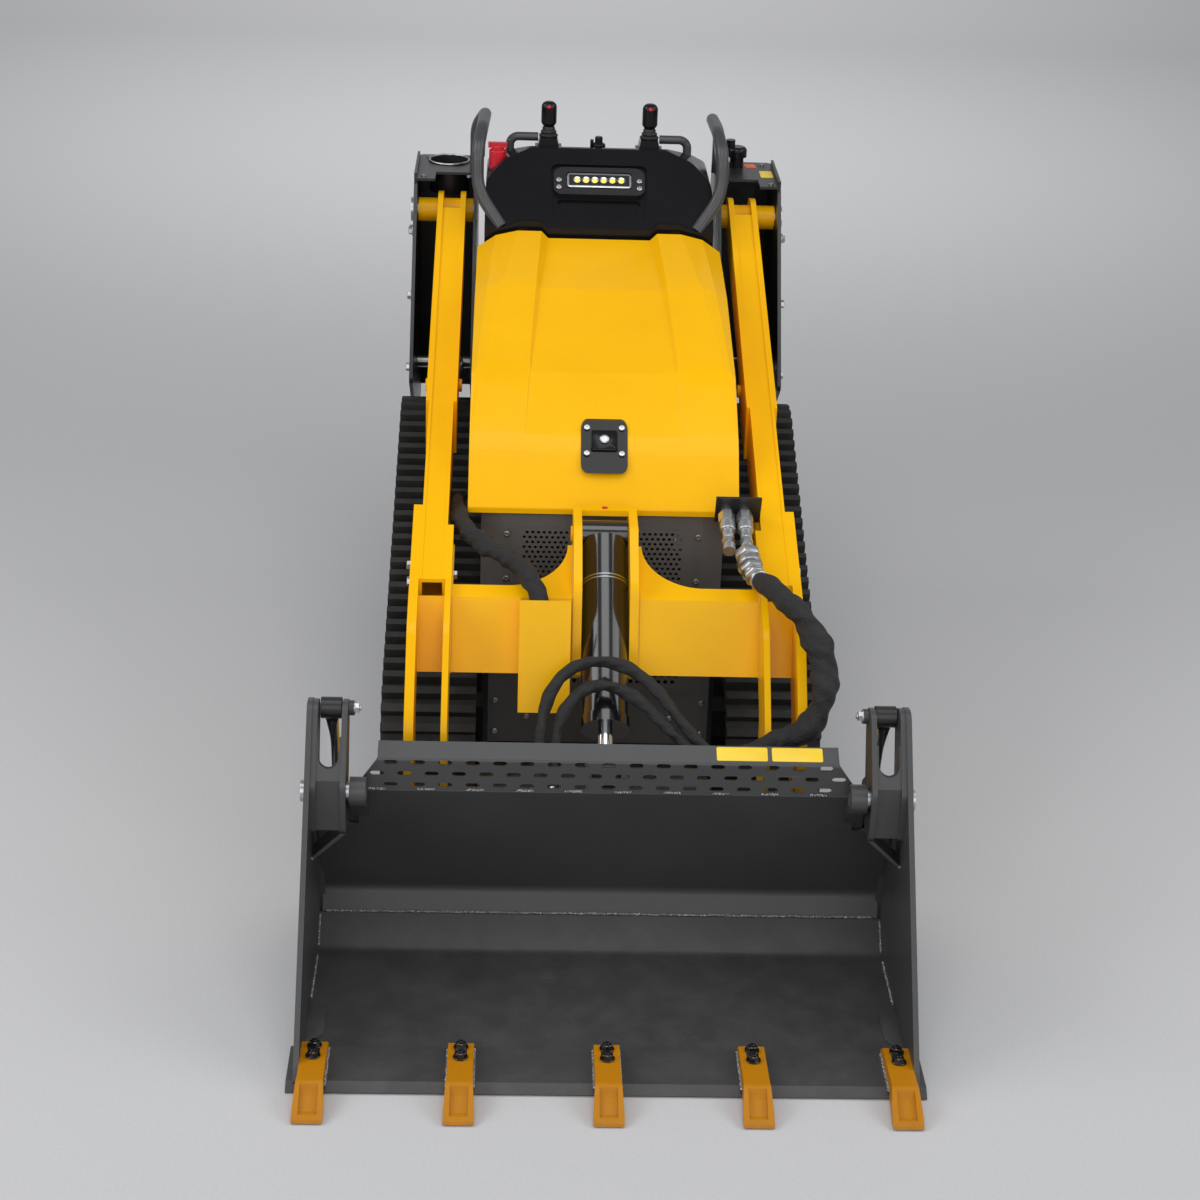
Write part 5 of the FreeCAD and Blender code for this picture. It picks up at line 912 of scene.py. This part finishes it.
class LOADER_OT_controls(bpy.types.Operator):
    """Lever boots and buttons, the gauge, the rocker switches and the key."""

    bl_idname = "loader.controls"
    bl_label = "Controls"

    def execute(self, context):
        boots, buttons = [], []
        for x in (0.118, -0.118):
            boot = begin("cone", "boot", vertices=24, radius1=0.021, radius2=0.008, depth=0.034,
                         location=(x, 0.890, 1.206))
            ribbed(boot, cuts=7, swell=1.16, x=x, y=0.890)
            boots.append(boot)
            button = begin("cylinder", "button", vertices=18, radius=0.0065, depth=0.006,
                           location=(x, 0.878, 1.262))
            pick(button, upward)
            bpy.ops.mesh.bevel(offset=0.0012, segments=2)
            leave()
            buttons.append(button)
        settle(merged(boots, "lever_boots"), "chassis", "hose_jacket", smooth=50)
        settle(merged(buttons, "lever_buttons"), "chassis", "red_plastic")
        back = Vector(PANEL_AHEAD).normalized()
        gauge = tile("gauge_frame", width=0.150, height=0.078, thick=0.007, corner=0.012, place=PANEL, ahead=back)
        settle(gauge, "chassis", "lamp_black")
        glass = tile("gauge_glass", width=0.126, height=0.056, thick=0.0022, corner=0.008,
                     place=PANEL + back * 0.0075, ahead=back)
        settle(glass, "chassis", "dark_glass")
        rockers = []
        for x, tilt in ((-0.165, -7), (-0.128, 7), (0.128, -7), (0.165, 7)):
            rocker = block("rocker", 0.021, 0.036, 0.008)
            softened(rocker, anything, 0.0016)
            stand(rocker, PANEL + Vector((x, 0, 0)) + back * 0.003, back, Quaternion((1, 0, 0), math.radians(tilt)))
            rockers.append(rocker)
        settle(merged(rockers, "rocker_switches"), "chassis", "hose_jacket")
        key = begin("cylinder", "key_switch", vertices=24, radius=0.014, depth=0.008, location=(0, 0, 0.004))
        stepped(key, (0.003, 0.0015), (0.003, -0.001), (0.004, 0.004))
        down = Vector((0, 0.877, -0.48))
        stand(key, PANEL + down * 0.058, back)
        settle(key, "chassis", "zinc_steel")
        return {"FINISHED"}


class LOADER_OT_thigh_pad(bpy.types.Operator):
    """The cushion that the operator leans on: crowned, with a piped rim."""

    bl_idname = "loader.thigh_pad"
    bl_label = "Thigh pad"

    def execute(self, context):
        low, high = (Vector(corner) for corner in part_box("thigh_pad"))
        middle = (low + high) / 2
        size = high - low - Vector((0.012, 0.004, 0.012))
        pad = block("thigh_cushion", *size)
        pick(pad, anything)
        bpy.ops.mesh.subdivide(number_cuts=9)
        leave()
        half = size / 2
        seam_place, seam_width, seam_depth = 0.36, 0.03, 0.16
        for vertex in pad.data.vertices:
            u, v = vertex.co.x / half.x, vertex.co.z / half.z
            crown = (1 - u ** 4) * (1 - v ** 4)
            seam = math.exp(-((abs(u) - seam_place) / seam_width) ** 2)
            if vertex.co.y > 0:
                vertex.co.y = half.y * (0.42 + 0.58 * crown - seam_depth * seam * crown)
            vertex.co.z *= 1 - 0.03 * (1 - abs(u)) * abs(v) ** 3
        finish_with(pad, "BEVEL", width=0.008, segments=3, limit_method="ANGLE", angle_limit=math.radians(50))
        finish_with(pad, "SUBSURF", levels=1, render_levels=1)
        stand(pad, middle - Vector((0, 0.001, 0)))
        settle(pad, "chassis", "pad_vinyl", smooth=60)
        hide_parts("thigh_pad")
        return {"FINISHED"}


# ------------------------------------------------------------------ platform, vents and frame details

class LOADER_OT_platform_mat(bpy.types.Operator):
    """A rubber mat with grip studs on the platform."""

    bl_idname = "loader.platform_mat"
    bl_label = "Platform mat"

    def execute(self, context):
        mat = tile("platform_mat", width=0.450, height=0.215, thick=0.004, corner=0.020,
                   place=(0, 1.165, PLATFORM_TOP), ahead=TOP)
        settle(mat, "chassis", "track_rubber")
        stud = begin("cone", "stud", vertices=6, radius1=0.0062, radius2=0.0042, depth=0.0035,
                     location=(0, 0, 0.00175))
        stepped(stud, (0.0012, -0.0008))
        aside, behind, level = 0.024, 0.0205, PLATFORM_TOP + 0.0048
        places = [((-0.204 + aside * (column + row % 2 / 2), 1.075 + behind * row, level), TOP, 0.0)
                  for row in range(10) for column in range(18 - row % 2)]
        settle(copied(stud, "platform_studs", places), "chassis", "track_rubber")
        drop(stud)
        return {"FINISHED"}


def louvres(name, width, pitch, count, place, ahead):
    """A vent of tilted slats."""
    slat = block(name, width, pitch * 0.95, 0.0025)
    softened(slat, lambda middle, way: abs(way.x) > 0.9, 0.0008)
    pick(slat, anything)
    bpy.ops.transform.rotate(value=math.radians(32), orient_axis="X", center_override=(0, 0, 0))
    nudge(z=0.004)
    leave()
    finish_with(slat, "ARRAY", use_relative_offset=False, use_constant_offset=True,
                constant_offset_displace=(0, pitch, 0), count=count)
    pick(slat, anything)
    nudge(y=-pitch * (count - 1) / 2)
    leave()
    stand(slat, place, ahead)
    return slat


class LOADER_OT_vents(bpy.types.Operator):
    """A hatch with louvres and a handle at the rear of the chassis."""

    bl_idname = "loader.vents"
    bl_label = "Vents"

    def execute(self, context):
        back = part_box("chassis_frame")[1][1]
        hatch = tile("rear_hatch", width=0.360, height=0.560, thick=0.004, corner=0.018,
                     place=(0, back, 0.535), ahead=REAR)
        settle(hatch, "chassis", "frame_black")
        vents = [louvres("vent", width=0.130, pitch=0.016, count=13, place=(x, back + 0.005, 0.620), ahead=REAR)
                 for x in (-0.082, 0.082)]
        settle(merged(vents, "rear_louvres"), "chassis", "frame_black")
        handle = begin("torus", "hatch_handle", major_segments=28, minor_segments=10, major_radius=0.035,
                       minor_radius=0.0055)
        pick(handle, lambda middle, way: middle.y < -0.0001)
        bpy.ops.mesh.delete(type="FACE")
        leave()
        pick(handle, anything, "EDGE")
        bpy.ops.transform.resize(value=(1.25, 0.8, 1))
        leave()
        stand(handle, (0, back + 0.003, 0.40))
        settle(handle, "chassis", "tube_grey", smooth=60)
        return {"FINISHED"}


class LOADER_OT_rings(bpy.types.Operator):
    """Steel rings on the barrels of the cylinders."""

    bl_idname = "loader.rings"
    bl_label = "Cylinder rings"

    def execute(self, context):
        gap = 0.007
        for name, base, end, radius, along in (
                ("tilt_barrel", (0, -0.225, 0.656), (0, *TILT_PIN), 0.0445, 0.116),
                ("lift_barrel_right", (0.341, 0.855, 0.640), (0.341, *LIFT_PIN), 0.0305, 0.07),
                ("lift_barrel_left", (-0.341, 0.855, 0.640), (-0.341, *LIFT_PIN), 0.0305, 0.07)):
            base = Vector(base)
            way = (Vector(end) - base).normalized()
            ring = begin("torus", "ring", major_segments=36, minor_segments=8, major_radius=radius,
                         minor_radius=0.0016)
            pick(ring, lambda middle, way: way.z > 0.7)
            nudge(z=0.0006)
            leave()
            places = [(base + way * (along + more), way, 0.0) for more in (0.0, gap)]
            settle(copied(ring, name + "_rings", places), name, "zinc_steel", smooth=70)
            drop(ring)
        return {"FINISHED"}


# ------------------------------------------------------------------ hoses

# Each hose's radius, its sleeve's share of the slack, the stretch that adaptors take, and its route.
HOSES = {
    "hose_bundle_left": (0.012, 1.7, 0.0, [
        (-0.299, -0.072, 0.664), (-0.299, -0.140, 0.664), (-0.280, -0.225, 0.659), (-0.235, -0.290, 0.652),
        (-0.175, -0.352, 0.646), (-0.128, -0.428, 0.620), (-0.118, -0.464, 0.532)]),
    "hose_bundle_right": (0.016, 2.1, 0.105, [
        (0.281, -0.31476, 0.66296), (0.281, -0.375, 0.64104), (0.318, -0.462, 0.652), (0.384, -0.545, 0.618),
        (0.420, -0.605, 0.536), (0.398, -0.650, 0.455), (0.324, -0.668, 0.420), (0.250, -0.688, 0.404)]),
    "hose_loop_upper": (0.008, 0.85, 0.0, [
        (0.2478, -0.6886, 0.4117), (0.205, -0.700, 0.4024), (0.150, -0.650, 0.440), (0.090, -0.585, 0.500),
        (0.020, -0.548, 0.532), (-0.060, -0.552, 0.528), (-0.112, -0.596, 0.490), (-0.128, -0.660, 0.420),
        (-0.128, -0.70807, 0.36245), (-0.128, -0.7439, 0.34652)]),
    "hose_loop_lower": (0.008, 0.95, 0.0, [
        (0.2522, -0.6874, 0.3963), (0.205, -0.700, 0.386), (0.140, -0.668, 0.420), (0.070, -0.606, 0.474),
        (0.0, -0.578, 0.500), (-0.056, -0.592, 0.488), (-0.094, -0.636, 0.440), (-0.100, -0.690, 0.37049),
        (-0.100, -0.7439, 0.34652)]),
}

# Sides, radius and length of each adaptor, and the gap after it.
ADAPTORS = (
    (6, 0.0270, 0.020, 0.0), (32, 0.0225, 0.009, 0.0), (32, 0.0250, 0.016, 0.002), (6, 0.0240, 0.013, 0.0),
    (32, 0.0190, 0.012, 0.0), (6, 0.0225, 0.010, 0.001), (32, 0.0180, 0.016, 0.0), (32, 0.0200, 0.004, 0.0))


def fill_spline(line, points):
    spline = line.splines.new("NURBS")
    spline.points.add(len(points) - 1)
    for knot, place in zip(spline.points, points):
        knot.co = (*place, 1.0)
    spline.order_u = 3
    spline.use_endpoint_u = True
    spline.resolution_u = 12


def read_line(points):
    """The smooth line that a route's points lead, as places along it."""
    line = bpy.data.curves.new("measure", "CURVE")
    line.dimensions = "3D"
    fill_spline(line, points)
    holder = bpy.data.objects.new("measure", line)
    mesh = bpy.data.meshes.new_from_object(holder)
    places = [vertex.co.copy() for vertex in mesh.vertices]
    bpy.data.meshes.remove(mesh)
    bpy.data.objects.remove(holder)
    bpy.data.curves.remove(line)
    return places


def line_length(places):
    return sum((after - before).length for before, after in zip(places, places[1:]))


def spread(places, gap):
    """The line's places, an even gap apart."""
    total, steps = line_length(places), max(2, round(line_length(places) / gap))
    evenly, run, index = [places[0]], 0.0, 0
    for step in range(1, steps):
        goal = total * step / steps
        while run + (places[index + 1] - places[index]).length < goal:
            run += (places[index + 1] - places[index]).length
            index += 1
        part = (goal - run) / (places[index + 1] - places[index]).length
        evenly.append(places[index].lerp(places[index + 1], part))
    return evenly + [places[-1]]


def wrapped_sleeve(name, points, radius, slack, seed, bare):
    """A loose woven sleeve: a tube along the hose's line that bags and creases between its ends."""
    finest, most_rings, around = 0.0035, 98, 28
    line = read_line(points)
    length = line_length(line)
    places = spread(line, max(finest, length / most_rings))
    places = places[round(bare / length * (len(places) - 1)):]
    last = len(places) - 1
    tube = begin("cylinder", name, vertices=around, radius=radius, depth=1.0, end_fill_type="NOTHING")
    pick(tube, upright, "EDGE")
    bpy.ops.mesh.subdivide(number_cuts=last - 1)
    leave()
    levels = sorted({round(vertex.co.z, 4) for vertex in tube.data.vertices})
    ahead = [(places[min(i + 1, last)] - places[max(i - 1, 0)]).normalized() for i in range(len(places))]
    turns = [ahead[0].to_track_quat("Z", "X")]
    for before, after in zip(ahead, ahead[1:]):
        turns.append(before.rotation_difference(after) @ turns[-1])
    for vertex in tube.data.vertices:
        row = min(range(len(levels)), key=lambda index: abs(levels[index] - vertex.co.z))
        share = row / (len(levels) - 1)
        angle = math.atan2(vertex.co.y, vertex.co.x)
        bag = math.sin(math.pi * share) ** 0.5 * slack
        crease = (0.52 + 0.22 * math.sin(row * 0.47 + 1.4 * math.sin(angle + seed))
                  + 0.20 * math.sin(row * 0.21 + angle * 2 + seed * 2)
                  + 0.13 * math.sin(row * 1.15 + angle * 3 + seed))
        side = Vector((math.cos(angle), math.sin(angle), 0)) * (radius * 1.08 + bag * crease)
        vertex.co = places[row] + turns[row] @ side
    finish_with(tube, "SUBSURF", levels=1, render_levels=1)
    return tube


class LOADER_OT_hoses(bpy.types.Operator):
    """Lays the bundles and the two hoses to the bucket, with sleeves, collars and crimped ends."""

    bl_idname = "loader.hoses"
    bl_label = "Hoses"

    def execute(self, context):
        slack = context.scene.loader_parts.sleeve
        for name, (radius, share, bare, points) in HOSES.items():
            bundle = "bundle" in name
            line = bpy.data.curves.new(name, "CURVE")
            line.dimensions = "3D"
            fill_spline(line, points)
            line.bevel_depth = radius * (0.92 if bundle else 1)
            line.bevel_resolution = 6
            line.use_fill_caps = True
            hose = bpy.data.objects.new(name + "_hose", line)
            context.scene.collection.objects.link(hose)
            hose.data.materials.append(bpy.data.materials["hose_jacket"])
            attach(hose, "boom")
            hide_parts(name)
            sleeve = wrapped_sleeve(name + "_sleeve", points, radius, slack * share, len(name), bare)
            pieces = [settle(sleeve, "boom", "hose_black", smooth=70)]
            if bare:
                pieces.append(self.adaptors(name, points))
            pieces.append(self.collars(name, points, radius))
            line_length(read_line(points))
        return {"FINISHED"}

    def adaptors(self, name, points):
        """A chain of hexagons and ferrules over the first stretch of a hose."""
        grain = 0.002
        line = spread(read_line(points), grain)
        chain, run = [], 0.004
        for sides, radius, length, gap in ADAPTORS:
            link = begin("cylinder", "link", vertices=sides, radius=radius, depth=length,
                         location=(0, 0, length / 2))
            finish_with(link, "BEVEL", width=0.0018, segments=2, limit_method="ANGLE")
            first = line[min(round(run / grain), len(line) - 2)]
            last = line[min(round((run + length) / grain), len(line) - 1)]
            chain.append(copied(link, "link", [(first, last - first, 0.3)]))
            drop(link)
            run += length + gap
        return settle(merged(chain, name + "_adaptors"), "boom", "zinc_steel", smooth=40)

    def collars(self, name, points, radius):
        """Crimped collars at both ends of a hose."""
        collar = begin("cylinder", "collar", vertices=24, radius=radius * 1.12, depth=0.024,
                       location=(0, 0, 0.012))
        ribbed(collar, cuts=5, swell=1.10)
        first, last = Vector(points[0]), Vector(points[-1])
        places = [(first, Vector(points[1]) - first, 0.0), (last, Vector(points[-2]) - last, 0.0)]
        finish = "hose_jacket" if "bundle" in name else "zinc_steel"
        ends = settle(copied(collar, name + "_collars", places), "boom", finish, smooth=50)
        drop(collar)
        return ends


# ------------------------------------------------------------------ stage

class LOADER_OT_stage(bpy.types.Operator):
    """Sets up the camera, the soft boxes, the floor and the backdrop."""

    bl_idname = "loader.stage"
    bl_label = "Stage"

    def execute(self, context):
        stage = context.scene.loader_stage
        deselect_all()
        bpy.ops.object.camera_add(location=(-0.185, -4.658, 2.555))
        camera = context.object
        camera.data.lens = stage.lens
        camera.data.sensor_width = 36
        camera.data.clip_end = 60
        pitch, yaw, roll = (math.radians(angle) for angle in (24.744, 2.334, 2.035))
        ahead = Vector((math.sin(yaw) * math.cos(pitch), math.cos(yaw) * math.cos(pitch), -math.sin(pitch)))
        aside = Vector((math.cos(yaw), -math.sin(yaw), 0))
        above = aside.cross(ahead)
        right = aside * math.cos(roll) + above * math.sin(roll)
        top = above * math.cos(roll) - aside * math.sin(roll)
        turn = Matrix((right, top, -ahead)).transposed().to_4x4()
        camera.matrix_world = Matrix.Translation(camera.location) @ turn
        context.scene.camera = camera

        tone = tuple(stage.floor)
        floor = Finish("studio_floor", Base_Color=tone, Roughness=0.85)
        grain = floor.noise(160.0, 5.0, 0.7)
        blotch = floor.ramp(grain, 0.35, 0.7)
        floor.feed("Base Color", floor.mix(blotch, scaled(tone, 0.96), scaled(tone, 1.03)))
        floor.feed("Roughness", grain * 0.1 + 0.8)
        bpy.ops.mesh.primitive_plane_add(size=14, location=(0, 3.0, 0))
        ground = context.object
        ground.name = "floor"
        pick(ground, lambda middle, way: middle.y > 3, "EDGE")
        bpy.ops.mesh.extrude_region_move(TRANSFORM_OT_translate={"value": (0, 0, 7)})
        leave()
        finish_with(ground, "BEVEL", width=2.2, segments=24, affect="EDGES", limit_method="ANGLE")
        bpy.ops.object.shade_smooth()
        bpy.ops.object.transform_apply(location=True, rotation=True, scale=True)
        ground.data.materials.append(floor.material)

        middle, wall, fill, backdrop = (0, 0, 0.5), (0, 9.5, 1.5), stage.fill_power, 210.0
        for name, place, aim, power, size in (
                ("key", (0.0, -0.9, 3.9), middle, stage.key_power, 2.0),
                ("key_left", (-3.0, 0.4, 3.4), middle, fill * 0.8, 2.2),
                ("key_right", (3.0, 0.4, 3.4), middle, fill * 0.55, 2.2),
                ("fill_left", (-3.6, -2.6, 2.4), middle, fill, 2.4),
                ("fill_right", (3.6, -2.2, 2.4), middle, fill * 0.8, 2.4),
                ("front", (0.0, -5.4, 2.9), middle, fill * 1.75, 4.2),
                ("backdrop", (0.0, 4.8, 4.6), wall, backdrop, 3.6)):
            deselect_all()
            bpy.ops.object.light_add(type="AREA", location=place)
            lamp = context.object
            lamp.name = name
            lamp.data.shape = "SQUARE"
            lamp.data.size = size
            lamp.data.energy = power
            lamp.rotation_euler = (Vector(aim) - Vector(place)).to_track_quat("-Z", "Y").to_euler()
        world = bpy.data.worlds.new("studio")
        context.scene.world = world
        world.use_nodes = True
        sky = world.node_tree.nodes["Background"].inputs
        sky["Color"].default_value = (0.8, 0.82, 0.85, 1)
        sky["Strength"].default_value = 0.35
        context.scene.view_settings.view_transform = "Standard"
        return {"FINISHED"}


# ------------------------------------------------------------------ panel and registration

STEPS = (LOADER_OT_stage, LOADER_OT_finishes, LOADER_OT_hoses, LOADER_OT_fasteners, LOADER_OT_welds,
         LOADER_OT_plates, LOADER_OT_wear_parts, LOADER_OT_lamp, LOADER_OT_latch, LOADER_OT_controls,
         LOADER_OT_thigh_pad, LOADER_OT_platform_mat, LOADER_OT_vents, LOADER_OT_rings)


class LOADER_PT_steps(bpy.types.Panel):
    """Lists the loader's settings and steps in the sidebar."""

    bl_idname = "LOADER_PT_steps"
    bl_label = "Mini Track Loader"
    bl_space_type = "VIEW_3D"
    bl_region_type = "UI"
    bl_category = "Loader"

    def draw(self, context):
        scene = context.scene
        for settings in (scene.loader_paint, scene.loader_parts, scene.loader_stage):
            box = self.layout.box()
            for name in settings.__annotations__:
                box.prop(settings, name)
        for step in STEPS:
            self.layout.operator(step.bl_idname)


SETTINGS = {"loader_paint": PaintSettings, "loader_parts": PartSettings, "loader_stage": StageSettings}
CLASSES = (*SETTINGS.values(), *STEPS, LOADER_PT_steps)


def register():
    for kind in CLASSES:
        bpy.utils.register_class(kind)
    for name, kind in SETTINGS.items():
        setattr(bpy.types.Scene, name, PointerProperty(type=kind))


def unregister():
    for name in SETTINGS:
        delattr(bpy.types.Scene, name)
    for kind in reversed(CLASSES):
        bpy.utils.unregister_class(kind)


def main():
    register()
    for step in STEPS:
        group, name = step.bl_idname.split(".")
        getattr(getattr(bpy.ops, group), name)()


if __name__ == "__main__":
    main()
